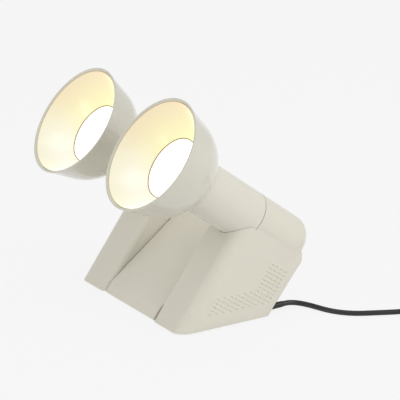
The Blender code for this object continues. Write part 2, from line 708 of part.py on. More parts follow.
def collar(name, side):
    "The neck collar: it carries on the ball's curve, fixed in the tube, with a slanted front face."
    tube_front = TUBE_LENGTH - SPHERE_CENTRE + GAP
    spigot = TUBE_RADIUS - TUBE_WALL - GAP
    inner = spigot - COLLAR_WALL
    top = -SWIVEL_PLANE * sin(SWIVEL_HALF_ANGLE)
    seam_angle = pi - atan2(TUBE_RADIUS, -tube_front)
    ball = arc((0, 0), SPHERE_RADIUS, seam_angle, pi / 2 + SWIVEL_HALF_ANGLE / 2, 8)
    ball = [(along, radius) for along, radius in ball if along > tube_front]
    profile = ([(tube_front - COLLAR_SPIGOT_LENGTH, inner), (tube_front - COLLAR_SPIGOT_LENGTH, spigot),
                (tube_front, spigot), (tube_front, TUBE_RADIUS)] + ball + [(ball[-1][0], inner)])
    made = place(name, turned_mesh(profile, ROUND_STEPS), IVORY, head_frame(side))
    reach = SPHERE_RADIUS + top
    block = turned_mesh(ring_profile(0, reach, 0, SPHERE_RADIUS + OVERRUN), SMALL_ROUND_STEPS)
    cut(made, place(name + "_face_tool", block, IVORY,
                    swivel_frame(side) @ Matrix.Translation((0, 0, SWIVEL_PLANE - GAP / 2))))
    seat = ring_profile(-SLEEVE_SEAT, OVERRUN, 0, SWIVEL_HOLE_RADIUS)
    cut(made, place(name + "_seat_tool", turned_mesh(seat, SMALL_ROUND_STEPS), IVORY,
                    swivel_frame(side) @ Matrix.Translation((0, 0, SWIVEL_PLANE))))
    return made


def head(word, side):
    "Everything in front of one sleeve: the turning tube's pieces and the swivelling bowl's pieces."
    place(word + "_arm_tube", turned_mesh(tube_profile(), ROUND_STEPS), IVORY, axis_frame(side))
    bush = ring_profile(-GAP - BUSH_LENGTH, -GAP, SPIGOT_RADIUS + GAP, BORE_RADIUS - GAP)
    place(word + "_sleeve_bush", turned_mesh(bush, SMALL_ROUND_STEPS), NYLON, axis_frame(side))
    ring_front = -GAP - BUSH_LENGTH - GAP
    ring_outer = BORE_RADIUS - 3 * GAP
    retainer = ring_profile(ring_front - RETAINER_LENGTH, ring_front, SPIGOT_RADIUS + GAP, ring_outer)
    place(word + "_tube_retainer", turned_mesh(retainer, SMALL_ROUND_STEPS), STEEL, axis_frame(side))

    collar(word + "_neck_collar", side)
    swivel = swivel_frame(side) @ Matrix.Translation((0, 0, SWIVEL_PLANE))
    outer = SWIVEL_HOLE_RADIUS - GAP
    front = GAP / 2 + PLATE_THICKNESS + 2 * GAP + CLAMP_THICKNESS
    sleeve = ring_profile(-SLEEVE_SEAT + GAP, front, outer - SLEEVE_TUBE_WALL, outer)
    place(word + "_swivel_sleeve", turned_mesh(sleeve, SMALL_ROUND_STEPS), STEEL, swivel)
    plate_low = GAP / 2 + GAP
    edge = sqrt((SPHERE_RADIUS - BOWL_WALL) ** 2 - SWIVEL_PLANE ** 2) - GAP
    plate = ring_profile(plate_low, plate_low + PLATE_THICKNESS, SWIVEL_HOLE_RADIUS, edge)
    place(word + "_swivel_plate", turned_mesh(plate, SMALL_ROUND_STEPS), STEEL, swivel)
    clamp_low = plate_low + PLATE_THICKNESS + GAP
    clamp_outer = SWIVEL_HOLE_RADIUS + CLAMP_WIDTH
    clamp = ring_profile(clamp_low, clamp_low + CLAMP_THICKNESS, SWIVEL_HOLE_RADIUS, clamp_outer)
    place(word + "_clamp_ring", turned_mesh(clamp, SMALL_ROUND_STEPS), STEEL, swivel)

    bowl(word + "_bowl", side)
    face = SPHERE_SETBACK - LINER_DEPTH
    rim_at = SPHERE_SETBACK - LINER_RIM_SETBACK
    liner = [(rim_at, LINER_RIM_RADIUS)]
    steps = 5
    for i in range(1, steps + 1):
        share = i / steps
        along = rim_at + (face - rim_at) * share
        bulge = sin(share * pi) * LINER_RIM_SETBACK * 2
        liner.append((along, LINER_RIM_RADIUS + (LINER_OPENING_RADIUS - LINER_RIM_RADIUS) * share + bulge))
    behind = [(along - LINER_WALL, radius + LINER_WALL / 4) for along, radius in reversed(liner)]
    place(word + "_reflector", turned_mesh(liner + behind, ROUND_STEPS), LINER_WHITE, head_frame(side))

    lamp_face = face - LINER_WALL - GAP
    cap_front = lamp_face - LAMP_RIM_HEIGHT - LAMP_DEPTH
    lamp = [(lamp_face, 0), (lamp_face, LAMP_FACE_RADIUS), (lamp_face - LAMP_RIM_HEIGHT, LAMP_FACE_RADIUS),
            (lamp_face - LAMP_RIM_HEIGHT - LAMP_DEPTH / 3, LAMP_BACK_RADIUS),
            (cap_front, LAMP_NECK_RADIUS), (cap_front, LAMP_CAP_RADIUS),
            (cap_front - LAMP_CAP_LENGTH, LAMP_CAP_RADIUS), (cap_front - LAMP_CAP_LENGTH, 0)]
    place(word + "_reflector_lamp", turned_mesh(lamp, SMALL_ROUND_STEPS), LAMP_GLASS, head_frame(side))
    holder_front = cap_front - GAP
    holder_rear = holder_front - HOLDER_LENGTH - GAP
    floor = holder_front - LAMP_CAP_LENGTH - GAP
    holder = [(holder_rear, 0), (holder_rear, HOLDER_RADIUS), (holder_front, HOLDER_RADIUS),
              (holder_front, LAMP_CAP_RADIUS + GAP), (floor, LAMP_CAP_RADIUS + GAP), (floor, 0)]
    place(word + "_lamp_holder", turned_mesh(holder, PIN_STEPS), CERAMIC, head_frame(side))


def strain_relief():
    "The tapered sleeve where the cord leaves the rear wall."
    profile = [(-RELIEF_INNER_LENGTH, 0), (-RELIEF_INNER_LENGTH, RELIEF_NECK_RADIUS),
               (0, RELIEF_NECK_RADIUS), (RELIEF_LENGTH, RELIEF_TIP_RADIUS), (RELIEF_LENGTH, 0)]
    return place("strain_relief", turned_mesh(profile, 16), BLACK, relief_frame())


# The cord's free route on the table, chosen by hand, in millimetres from the origin
CORD_ROUTE_MM = [(88.0, 80.0, 5.8), (88.3, 84.0, 5.7), (90.0, 90.5, 5.0), (94.2, 96.8, 4.0),
                 (100.2, 101.6, 3.2), (107.5, 104.9, 2.85), (117, 108.2, 2.75), (127, 113.0, 2.75),
                 (136.5, 120.5, 2.75), (144.5, 130.5, 2.75), (152.5, 146.0, 2.75),
                 (162.2, 167.1, 2.75), (165.4, 174.4, 3.67), (168.6, 181.8, 5.88),
                 (171.8, 189.1, 8.08), (175.0, 196.4, 9.0), (176.6, 200.1, 9.0)]
SWITCH_HEADING = Vector((0.4, 0.9165, 0)).normalized()
LINK_FALL_SHARES = [(0, 1), (0.12, 1), (0.31, 0.854), (0.5, 0.5), (0.69, 0.146), (0.88, 0), (1, 0)]
LINK_LENGTH = 54 * MM
TAIL_LENGTH = 62 * MM
TAIL_HEIGHT_SHARES = [(0, 0.95), (0.06, 0.95), (0.175, 0.826), (0.29, 0.525), (0.405, 0.224),
                      (0.52, 0.1), (0.625, 0.185), (0.73, 0.39), (0.835, 0.595), (0.94, 0.68),
                      (1, 0.68)]


def coil_points(centre, start_angle):
    "Six and a half loops: in along the table, a climb of half a turn, and out again on top."
    outer = COIL_MEAN_RADIUS + COIL_PITCH * COIL_LAYER_TURNS / 2
    inner = outer - COIL_PITCH * COIL_LAYER_TURNS
    climb = 0.5
    turns = 2 * COIL_LAYER_TURNS + climb
    points = []
    total = round(turns * COIL_POINTS_PER_TURN)
    for i in range(total + 1):
        turn = i / COIL_POINTS_PER_TURN
        height = CORD_RADIUS
        if turn <= COIL_LAYER_TURNS:
            radius = outer - COIL_PITCH * turn
        elif turn <= COIL_LAYER_TURNS + climb:
            share = (turn - COIL_LAYER_TURNS) / climb
            radius = inner - COIL_PITCH * sin(pi * share) / 5
            height += COIL_PITCH * (1 - cos(pi * share)) / 2
        else:
            radius = inner + COIL_PITCH * (turn - COIL_LAYER_TURNS - climb)
            height += COIL_PITCH
        angle = start_angle + 2 * pi * turn
        points.append(Vector((centre.x + radius * cos(angle), centre.y + radius * sin(angle), height)))
    return points


def least_gap(points, diameter):
    "The least distance between stretches of the coil that are not neighbours, less a diameter."
    fine = [one.lerp(two, share / 3) for one, two in zip(points, points[1:]) for share in range(3)]
    apart = round(COIL_POINTS_PER_TURN * 3 / 2)
    nearest = min((one - two).length for i, one in enumerate(fine) for two in fine[i + apart:])
    return nearest - diameter


def lozenge(length, width, low, high):
    "A block with well-rounded upright corners, in the in-line switch's own frame."
    built = bmesh.new()
    box_into(built, (length, width, high - low), (0, 0, (high + low) / 2))
    round_edges(built, lambda one, two: abs(one.z - two.z) > GAP, width / 3, 4)
    return built


def inline_switch(entry):
    "A two-part housing on the cord with a rocker. X runs along the cord."
    middle = entry + SWITCH_HEADING * (GAP + SWITCH_LENGTH / 2)
    turn = atan2(SWITCH_HEADING.y, SWITCH_HEADING.x)
    frame = Matrix.Translation((middle.x, middle.y, 0)) @ Matrix.Rotation(turn, 4, "Z")
    split = SWITCH_HEIGHT * SWITCH_SPLIT_SHARE
    inner_length = SWITCH_LENGTH - 4 * SWITCH_WALL
    inner_width = SWITCH_WIDTH - 2 * SWITCH_WALL
    lower = lozenge(SWITCH_LENGTH, SWITCH_WIDTH, 0, split - GAP / 2)
    base = place("switch_base", lower, BLACK, frame)
    lower_room = lozenge(inner_length, inner_width, SWITCH_WALL, split + OVERRUN)
    cut(base, place("switch_base_tool", lower_room, BLACK, frame))
    upper = lozenge(SWITCH_LENGTH, SWITCH_WIDTH, split + GAP / 2, SWITCH_HEIGHT)
    cover = place("switch_cover", upper, BLACK, frame)
    room = lozenge(inner_length, inner_width, split - OVERRUN, SWITCH_HEIGHT - SWITCH_WALL)
    cut(cover, place("switch_cover_tool", room, BLACK, frame))
    window = bmesh.new()
    size = (ROCKER_LENGTH + 2 * ROCKER_CLEARANCE, ROCKER_WIDTH + 2 * ROCKER_CLEARANCE, 4 * SWITCH_WALL)
    box_into(window, size, (0, 0, SWITCH_HEIGHT))
    cut(cover, place("switch_window_tool", window, BLACK, frame))

    half = ROCKER_LENGTH / 2
    outline = [(-half + ROCKER_SKIRT / 2, -ROCKER_SKIRT), (half - ROCKER_SKIRT / 2, -ROCKER_SKIRT),
               (half, 0), (half - ROCKER_CLEARANCE, ROCKER_RISE), (0, ROCKER_RISE / 2),
               (-half + ROCKER_CLEARANCE, ROCKER_RISE), (-half, 0)]
    rocker = prism_mesh(outline, -ROCKER_WIDTH / 2, ROCKER_WIDTH / 2)
    bmesh.ops.transform(rocker, matrix=Matrix.Rotation(pi / 2, 4, "Z"), verts=rocker.verts)
    above = Matrix.Translation((0, 0, SWITCH_HEIGHT - SWITCH_WALL / 2))
    pivot = frame @ above @ Matrix.Rotation(ROCKER_TILT, 4, "Y")
    place("switch_rocker", rocker, BLACK, pivot)
    print("rocker pivot", [round(v, 6) for v in pivot.translation],
          "axis", [round(v, 6) for v in pivot.col[1].xyz])
    return entry + SWITCH_HEADING * (2 * GAP + SWITCH_LENGTH)


def plug(entry, heading):
    "A flat two-pin plug lying on the table. X runs from the cord to the pins."
    turn = atan2(heading.y, heading.x)
    frame = Matrix.Translation((entry.x, entry.y, 0)) @ Matrix.Rotation(turn, 4, "Z")
    body = bmesh.new()
    box_into(body, (PLUG_LENGTH, PLUG_WIDTH, PLUG_HEIGHT), (GAP + PLUG_LENGTH / 2, 0, PLUG_HEIGHT / 2))
    cord_end = [edge for edge in body.edges if abs(edge.verts[0].co.z - edge.verts[1].co.z) > GAP
                and edge.verts[0].co.x < PLUG_LENGTH / 2]
    bmesh.ops.bevel(body, geom=cord_end, offset=PLUG_WIDTH / 3, segments=4, affect="EDGES", profile=0.5)
    place("plug_body", body, BLACK, frame)
    for word, side in SIDES.items():
        pin = turned_mesh([(0, 0), (0, PIN_RADIUS), (PIN_LENGTH - PIN_RADIUS / 2, PIN_RADIUS),
                           (PIN_LENGTH, PIN_RADIUS / 2), (PIN_LENGTH, 0)], 12)
        spot = Matrix.Translation((PLUG_LENGTH + 2 * GAP, side * PIN_SPACING / 2, PLUG_HEIGHT / 2))
        place(word + "_plug_pin", pin, STEEL, frame @ spot @ Matrix.Rotation(pi / 2, 4, "Y"))


def run_points(start, heading, length, shares, low, rise):
    "A straight run in plan whose height follows a table of shares."
    points = []
    for along, up in shares:
        reach = length * along
        points.append(Vector((start.x + heading.x * reach, start.y + heading.y * reach, low + rise * up)))
    return points


def mains_cord():
    "The free cord: relief to switch, switch to coil, the coil, and its tail to the plug."
    relief_tip = relief_frame() @ Vector((0, 0, RELIEF_LENGTH + GAP))
    route = [relief_tip] + [Vector([value * MM for value in point]) for point in CORD_ROUTE_MM]
    tube_along("cord_run", smooth_points(route, 30), CORD_RADIUS, BLACK, 2)
    leave = inline_switch(route[-1])
    height = SWITCH_HEIGHT * SWITCH_SPLIT_SHARE
    link = run_points(leave, SWITCH_HEADING, LINK_LENGTH, LINK_FALL_SHARES, CORD_RADIUS,
                      height - CORD_RADIUS)
    tube_along("cord_link", smooth_points(link, 9), CORD_RADIUS, BLACK, 2)
    across = Vector((SWITCH_HEADING.y, -SWITCH_HEADING.x, 0))
    outer = COIL_MEAN_RADIUS + COIL_PITCH * COIL_LAYER_TURNS / 2
    straight = 2 * CORD_RADIUS
    begin = link[-1] + SWITCH_HEADING * (GAP + straight)
    loops = coil_points(begin - across * outer, atan2(across.y, across.x))
    print("least gap of the coil to itself, mm", round(least_gap(loops, 2 * CORD_RADIUS) / MM, 3))
    back = -SWITCH_HEADING
    points = [loops[0] - SWITCH_HEADING * straight] + loops + [loops[-1] + back * straight]
    tube_along("cord_coil", points, CORD_RADIUS, BLACK, 1)
    tail_start = points[-1] + back * GAP
    tail = run_points(tail_start, back, TAIL_LENGTH, TAIL_HEIGHT_SHARES, CORD_RADIUS,
                      COIL_PITCH / TAIL_HEIGHT_SHARES[0][1])
    tube_along("cord_tail", smooth_points(tail, 14), CORD_RADIUS, BLACK, 2)
    plug(tail[-1], back)
    for word, line in (("run", route), ("link", link), ("coil", points), ("tail", tail)):
        print(word, "mm", round(sum((two - one).length for one, two in zip(line, line[1:])) / MM, 1))


side_shell("right_side_shell", 1)
side_shell("left_side_shell", -1)
side_tray("right_side_tray", 1)
side_tray("left_side_tray", -1)
middle_shell()
rear_cover()
screws("rear_cover_screw", rear_screw_spots(), Matrix.Rotation(-pi / 2, 4, "X"), COVER_SCREW_LENGTH, STEEL)
middle_tray()
foot_pad()
transformer()
screws("tray_screw", tray_screw_spots(), upright_turn(), TRAY_SCREW_LENGTH, STEEL)
terminal_block()
head_leads()
mains_lead()
for word, side in SIDES.items():
    head(word, side)
    print(word, "sleeve mouth", [round(v, 6) for v in axis_frame(side).translation],
          "axis", [round(v, 6) for v in axis_frame(side).col[2].xyz],
          "ball centre", [round(v, 6) for v in head_frame(side).translation],
          "swivel axis", [round(v, 6) for v in swivel_frame(side).col[2].xyz])
strain_relief()
mains_cord()
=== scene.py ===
"""Looks of the twin-spot table lamp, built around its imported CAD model.

Metres, +Z up. The bowls face -Y and up. The body is drawn in its own leaning frame: x across,
a rearwards along the tubes and c up the leaning front.
"""
from math import atan2, cos, hypot, pi, radians, sin, sqrt, tan

import bpy
from mathutils import Matrix, Vector


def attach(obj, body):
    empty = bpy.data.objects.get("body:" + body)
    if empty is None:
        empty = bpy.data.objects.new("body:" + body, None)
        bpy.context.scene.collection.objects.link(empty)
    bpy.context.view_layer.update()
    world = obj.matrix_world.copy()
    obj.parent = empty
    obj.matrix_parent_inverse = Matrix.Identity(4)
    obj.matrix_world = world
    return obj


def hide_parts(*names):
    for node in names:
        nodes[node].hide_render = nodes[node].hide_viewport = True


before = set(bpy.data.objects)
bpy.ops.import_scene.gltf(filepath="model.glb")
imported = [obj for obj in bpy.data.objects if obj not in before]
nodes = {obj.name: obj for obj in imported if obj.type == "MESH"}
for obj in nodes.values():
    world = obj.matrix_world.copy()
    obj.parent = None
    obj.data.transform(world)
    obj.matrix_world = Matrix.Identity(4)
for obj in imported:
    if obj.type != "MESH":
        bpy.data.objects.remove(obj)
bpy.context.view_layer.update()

# Camera: a long lens at the photograph's place, a little above the lamp and in front of its
# right-hand side.
EYE = Vector((1.48880, -0.90792, 0.64721))
AIM = Vector((0.07215, -0.01208, 0.12650))
LENS_MM = 162

bpy.ops.object.camera_add(location=EYE, rotation=(AIM - EYE).to_track_quat("-Z", "Y").to_euler())
camera = bpy.context.object
camera.name = "photo_camera"
camera.data.lens = LENS_MM
camera.data.sensor_width = 36
camera.data.clip_start = 0.05
camera.data.clip_end = 50
bpy.context.scene.camera = camera


# Mains cord: one round black rubber cord. It leaves the strain relief, lies on the table, passes
# through the in-line switch, and is wound into a coil of six and a half turns before its plug.
LEAN = radians(36)
FOOT_LENGTH = 0.0874 / cos(LEAN)
PAD_PROUD = 0.002
RELIEF_HEIGHT = 0.0058
RELIEF_LENGTH = 0.020
RELIEF_X = 0.088
RELIEF_Y = FOOT_LENGTH / 2 + (RELIEF_HEIGHT - PAD_PROUD) * tan(LEAN)
CORD_RADIUS = 0.00275
GAP = 0.0003
ROUTE = [(0.0880, 0.0800, 0.0058), (0.0883, 0.0840, 0.0057), (0.0900, 0.0905, 0.0050),
         (0.0942, 0.0968, 0.0040), (0.1002, 0.1016, 0.0032), (0.1075, 0.1049, 0.00285),
         (0.1170, 0.1082, 0.00275), (0.1270, 0.1130, 0.00275), (0.1365, 0.1205, 0.00275),
         (0.1445, 0.1305, 0.00275), (0.1525, 0.1460, 0.00275), (0.1622, 0.1671, 0.00275),
         (0.1654, 0.1744, 0.00367), (0.1686, 0.1818, 0.00588), (0.1718, 0.1891, 0.00808),
         (0.1750, 0.1964, 0.0090), (0.1766, 0.2001, 0.0090)]
SWITCH_HEADING = Vector((0.4, 0.9165, 0)).normalized()
SWITCH_LENGTH = 0.062
SWITCH_HEIGHT = 0.018
LINK_LENGTH = 0.054
LINK_FALL = [(0, 1), (0.12, 1), (0.31, 0.854), (0.5, 0.5), (0.69, 0.146), (0.88, 0), (1, 0)]
TAIL_LENGTH = 0.062
TAIL_RISE = [(0, 0.95), (0.06, 0.95), (0.175, 0.826), (0.29, 0.525), (0.405, 0.224), (0.52, 0.1),
             (0.625, 0.185), (0.73, 0.39), (0.835, 0.595), (0.94, 0.68), (1, 0.68)]
COIL_RADIUS = 0.033
COIL_PITCH = 0.0061
COIL_TURNS = 3
TURN_POINTS = 24


def smooth_points(route, count):
    "Evenly read points on a smooth curve through a route's own points."
    fine = []
    last = len(route) - 1
    for i in range(last):
        before, here, there, after = (Vector(route[min(max(k, 0), last)]) for k in (i - 1, i, i + 1, i + 2))
        for step in range(24):
            t = step / 24
            fine.append(0.5 * (2 * here + (there - before) * t
                               + (2 * before - 5 * here + 4 * there - after) * t ** 2
                               + (3 * here - before - 3 * there + after) * t ** 3))
    fine.append(Vector(route[-1]))
    lengths = [0.0]
    for one, two in zip(fine, fine[1:]):
        lengths.append(lengths[-1] + (two - one).length)
    points = []
    k = 0
    for i in range(count):
        goal = lengths[-1] * i / (count - 1)
        while k < len(fine) - 2 and lengths[k + 1] < goal:
            k += 1
        points.append(fine[k].lerp(fine[k + 1], (goal - lengths[k]) / (lengths[k + 1] - lengths[k])))
    return points


def straight_run(start, heading, length, shares, low, rise):
    "A run that is straight from above, whose height follows a table of shares."
    return [Vector((start.x, start.y, low)) + heading * (length * along) + Vector((0, 0, rise * up))
            for along, up in shares]


def coil(centre, start_angle):
    "In along the table, a climb of half a turn, and out again on top of the first layer."
    outer = COIL_RADIUS + COIL_PITCH * COIL_TURNS / 2
    inner = outer - COIL_PITCH * COIL_TURNS
    points = []
    for i in range(round((2 * COIL_TURNS + 0.5) * TURN_POINTS) + 1):
        turn = i / TURN_POINTS
        height = CORD_RADIUS
        if turn <= COIL_TURNS:
            radius = outer - COIL_PITCH * turn
        elif turn <= COIL_TURNS + 0.5:
            share = (turn - COIL_TURNS) / 0.5
            radius = inner - COIL_PITCH * sin(pi * share) / 5
            height += COIL_PITCH * (1 - cos(pi * share)) / 2
        else:
            radius = inner + COIL_PITCH * (turn - COIL_TURNS - 0.5)
            height += COIL_PITCH
        angle = start_angle + 2 * pi * turn
        points.append(Vector((centre.x + radius * cos(angle), centre.y + radius * sin(angle), height)))
    return points


relief_tip = Vector((RELIEF_X, RELIEF_Y + RELIEF_LENGTH + GAP, RELIEF_HEIGHT))
run = smooth_points([relief_tip] + ROUTE, 60)
switch_entry = run[-1]
switch_exit = switch_entry + SWITCH_HEADING * (2 * GAP + SWITCH_LENGTH)
link = smooth_points(straight_run(switch_exit, SWITCH_HEADING, LINK_LENGTH, LINK_FALL, CORD_RADIUS,
                                  SWITCH_HEIGHT / 2 - CORD_RADIUS), 18)
across = Vector((SWITCH_HEADING.y, -SWITCH_HEADING.x, 0))
coil_start = link[-1] + SWITCH_HEADING * (GAP + 2 * CORD_RADIUS)
loops = coil(coil_start - across * (COIL_RADIUS + COIL_PITCH * COIL_TURNS / 2), atan2(across.y, across.x))
back = -SWITCH_HEADING
tail_start = loops[-1] + back * (2 * CORD_RADIUS + GAP)
tail_route = straight_run(tail_start, back, TAIL_LENGTH, TAIL_RISE, CORD_RADIUS, COIL_PITCH / TAIL_RISE[0][1])
tail = smooth_points(tail_route, 30)
cord_points = run + link + loops + tail

cord_curve = bpy.data.curves.new("mains_cord", "CURVE")
cord_curve.dimensions = "3D"
cord_curve.bevel_depth = CORD_RADIUS
cord_curve.bevel_resolution = 4
cord_curve.use_fill_caps = True
cord_line = cord_curve.splines.new("POLY")
cord_line.points.add(len(cord_points) - 1)
for spot, point in zip(cord_line.points, cord_points):
    spot.co = (*point, 1)
cord_line.use_smooth = True
mains_cord = bpy.data.objects.new("mains_cord", cord_curve)
bpy.context.scene.collection.objects.link(mains_cord)


def finish_material(name, colour, roughness, metallic=0.0, coat=0.0, grain=400.0, depth=0.02, wander=0.04):
    "A Principled finish: fine grain in its bump, a slow wander in its colour and in its roughness."
    made = bpy.data.materials.new(name)
    made.use_nodes = True
    tree = made.node_tree
    shader = tree.nodes["Principled BSDF"]
    shader.inputs["Metallic"].default_value = metallic
    shader.inputs["Coat Weight"].default_value = coat
    shader.inputs["Coat Roughness"].default_value = 0.12
    place = tree.nodes.new("ShaderNodeTexCoord")
    slow = tree.nodes.new("ShaderNodeTexNoise")
    slow.inputs["Scale"].default_value = 14
    slow.inputs["Detail"].default_value = 3
    tree.links.new(place.outputs["Object"], slow.inputs["Vector"])
    tint = tree.nodes.new("ShaderNodeValToRGB")
    tint.color_ramp.elements[0].position = 0.3
    tint.color_ramp.elements[1].position = 0.7
    tint.color_ramp.elements[0].color = (*[value * (1 - wander) for value in colour], 1)
    tint.color_ramp.elements[1].color = (*[min(value * (1 + wander), 1) for value in colour], 1)
    tree.links.new(slow.outputs["Fac"], tint.inputs["Fac"])
    tree.links.new(tint.outputs["Color"], shader.inputs["Base Color"])
    polish = tree.nodes.new("ShaderNodeMapRange")
    polish.inputs["To Min"].default_value = roughness * 0.88
    polish.inputs["To Max"].default_value = roughness * 1.12
    tree.links.new(slow.outputs["Fac"], polish.inputs["Value"])
    tree.links.new(polish.outputs["Result"], shader.inputs["Roughness"])
    fine = tree.nodes.new("ShaderNodeTexNoise")
    fine.inputs["Scale"].default_value = grain
    fine.inputs["Detail"].default_value = 2
    tree.links.new(place.outputs["Object"], fine.inputs["Vector"])
    bump = tree.nodes.new("ShaderNodeBump")
    bump.inputs["Strength"].default_value = depth
    bump.inputs["Distance"].default_value = 0.001
    tree.links.new(fine.outputs["Fac"], bump.inputs["Height"])
    tree.links.new(bump.outputs["Normal"], shader.inputs["Normal"])
    return made


cord_rubber = finish_material("cord_rubber", (0.014, 0.014, 0.015), 0.38, grain=900, depth=0.05, wander=0.15)
cord_curve.materials.append(cord_rubber)
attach(mains_cord, "base")
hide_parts("cord_run", "cord_link", "cord_coil", "cord_tail")


# Side shells: two ivory mouldings that stand left and right. Each is a hollow leaning box whose
# top runs into the sleeve of its turning tube, with a saddle in front of the sleeve and rows of
# short slots that let the transformer's warmth out.
BODY_DEPTH = 0.0874
AXIS_HEIGHT = 0.1367
SIDE_CENTRE = 0.075
SIDE_HALF_WIDTH = 0.0258
TUBE_RADIUS = 0.0267
SLEEVE_SETBACK = 0.0173
SLEEVE_LENGTH = BODY_DEPTH - SLEEVE_SETBACK
REAR_ROUNDING = 0.015
WALL = 0.0026
FRONT_OUTER = 0.013
FRONT_INNER = 0.006
REAR_CORNER = 0.006
BORE_RADIUS = 0.0237
BORE_DEPTH = 0.058
SADDLE_CLEARANCE = 0.0004
OVERRUN = 0.004
EDGE_BREAK = 0.0009
EXIT_HOLE_RADIUS = 0.0038
EXIT_HOLE_REACH = 0.016
BODY_FRAME = Matrix.Translation((0, -FOOT_LENGTH / 2, PAD_PROUD)) @ Matrix.Rotation(-LEAN, 4, "X")
RELIEF_PLACE = Matrix.Translation((RELIEF_X, RELIEF_Y, RELIEF_HEIGHT)) @ Matrix.Rotation(-pi / 2, 4, "X")
SIDES = {"right": 1, "left": -1}

body_ivory = finish_material("body_ivory", (0.685, 0.660, 0.575), 0.30, coat=0.25, grain=650, depth=0.035,
                             wander=0.012)


def floor_at(a, height=0.0):
    "The c of a level plane, a height above the body's underside, at depth a."
    return (height + a * sin(LEAN)) / cos(LEAN)


def sleeve_mouth(side):
    "In the body's frame, at the sleeve's mouth: Z runs forwards along the tube and Y up the front."
    spot = Matrix.Translation((side * SIDE_CENTRE, SLEEVE_SETBACK, AXIS_HEIGHT))
    return spot @ Matrix.Rotation(pi / 2, 4, "X")


def axis_frame(side):
    "The same place and turn in the world."
    return BODY_FRAME @ sleeve_mouth(side)


def deselect():
    "Leaves object mode with nothing selected."
    if bpy.context.object and bpy.context.object.mode != "OBJECT":
        bpy.ops.object.mode_set(mode="OBJECT")
    bpy.ops.object.select_all(action="DESELECT")


def settle(piece, name, place=None):
    "Names a piece, moves it to its place and leaves its object at the origin."
    deselect()
    piece.name = name
    piece.data.name = name
    bpy.context.view_layer.objects.active = piece
    piece.select_set(True)
    bpy.ops.object.transform_apply(location=True, rotation=True, scale=True)
    if place is not None:
        piece.matrix_world = place
        bpy.ops.object.transform_apply(location=True, rotation=True, scale=True)
    return piece


def block(low, high, name="block"):
    "A box between two corners."
    deselect()
    middle = [(one + two) / 2 for one, two in zip(low, high)]
    size = [two - one for one, two in zip(low, high)]
    bpy.ops.mesh.primitive_cube_add(size=1, location=middle, scale=size)
    return settle(bpy.context.object, name)


def pick(piece, kind, test):
    "Opens a piece in edit mode with only the parts selected that pass a test of their corners."
    deselect()
    bpy.context.view_layer.objects.active = piece
    piece.select_set(True)
    bpy.ops.object.mode_set(mode="EDIT")
    bpy.ops.mesh.select_mode(type=kind)
    bpy.ops.mesh.select_all(action="DESELECT")
    bpy.ops.object.mode_set(mode="OBJECT")
    verts = piece.data.vertices
    if kind == "VERT":
        for vert in verts:
            vert.select = test(vert.co)
    if kind == "EDGE":
        for edge in piece.data.edges:
            edge.select = all(test(verts[k].co) for k in edge.vertices)
    bpy.ops.object.mode_set(mode="EDIT")


def near(one, two):
    "True where two sizes agree to a twentieth of a millimetre."
    return abs(one - two) < 0.00005


def round_off(piece, test, width, segments):
    "Rounds the edges whose both ends pass a test."
    pick(piece, "EDGE", test)
    bpy.ops.mesh.bevel(offset=width, segments=segments, affect="EDGES", profile=0.5)
    bpy.ops.object.mode_set(mode="OBJECT")


def combine(piece, tool, operation="DIFFERENCE"):
    "Cuts a tool out of a piece, or joins it on, and takes the tool away."
    deselect()
    bpy.context.view_layer.objects.active = piece
    step = piece.modifiers.new("cut", "BOOLEAN")
    step.operation = operation
    step.solver = "EXACT"
    step.object = tool
    bpy.ops.object.modifier_apply(modifier=step.name)
    bpy.data.objects.remove(tool, do_unlink=True)


def soften(piece, width, angle=radians(32), segments=3):
    "Breaks the sharp edges as a mould or a polishing wheel does, and shades the rest smooth."
    deselect()
    bpy.context.view_layer.objects.active = piece
    piece.select_set(True)
    if width:
        step = piece.modifiers.new("edge", "BEVEL")
        step.width = width
        step.segments = segments
        step.limit_method = "ANGLE"
        step.angle_limit = angle
        step.harden_normals = False
        bpy.ops.object.modifier_apply(modifier=step.name)
    bpy.ops.object.shade_smooth_by_angle(angle=angle)
    weigh = piece.modifiers.new("weigh", "WEIGHTED_NORMAL")
    weigh.keep_sharp = True
    bpy.ops.object.modifier_apply(modifier=weigh.name)


def turned(name, rings, place, steps=96, tube=True):
    "Extrudes a circle from ring to ring of (along, radius) about Z. A tube closes on its first ring."
    deselect()
    along, radius = rings[0]
    bpy.ops.mesh.primitive_circle_add(vertices=steps, radius=radius, fill_type="NOTHING",
                                      location=(0, 0, along))
    piece = bpy.context.object
    bpy.ops.object.mode_set(mode="EDIT")
    bpy.ops.mesh.select_mode(type="EDGE")
    bpy.ops.mesh.select_all(action="SELECT")
    for next_along, next_radius in rings[1:]:
        rise = {"value": (0, 0, next_along - along)}
        bpy.ops.mesh.extrude_edges_move(TRANSFORM_OT_translate=rise)
        scale = next_radius / radius
        bpy.ops.transform.resize(value=(scale, scale, 1), center_override=(0, 0, next_along))
        along, radius = next_along, next_radius
    bpy.ops.mesh.select_all(action="DESELECT")
    bpy.ops.mesh.select_non_manifold()
    if tube:
        bpy.ops.mesh.bridge_edge_loops()
    else:
        bpy.ops.mesh.edge_face_add()
    bpy.ops.mesh.select_all(action="SELECT")
    bpy.ops.mesh.normals_make_consistent(inside=False)
    return settle(piece, name, place)


def closed_turned(name, rings, place, steps=96):
    "A solid turned piece: both open ends get a flat cap."
    piece = turned(name, rings, Matrix.Identity(4), steps, tube=False)
    return settle(piece, name, place)


def quarter(centre, radius, start, stop, steps):
    "Points (along, radius) on an arc about a centre."
    angles = [start + (stop - start) * i / steps for i in range(steps + 1)]
    return [(centre[0] + radius * cos(angle), centre[1] + radius * sin(angle)) for angle in angles]


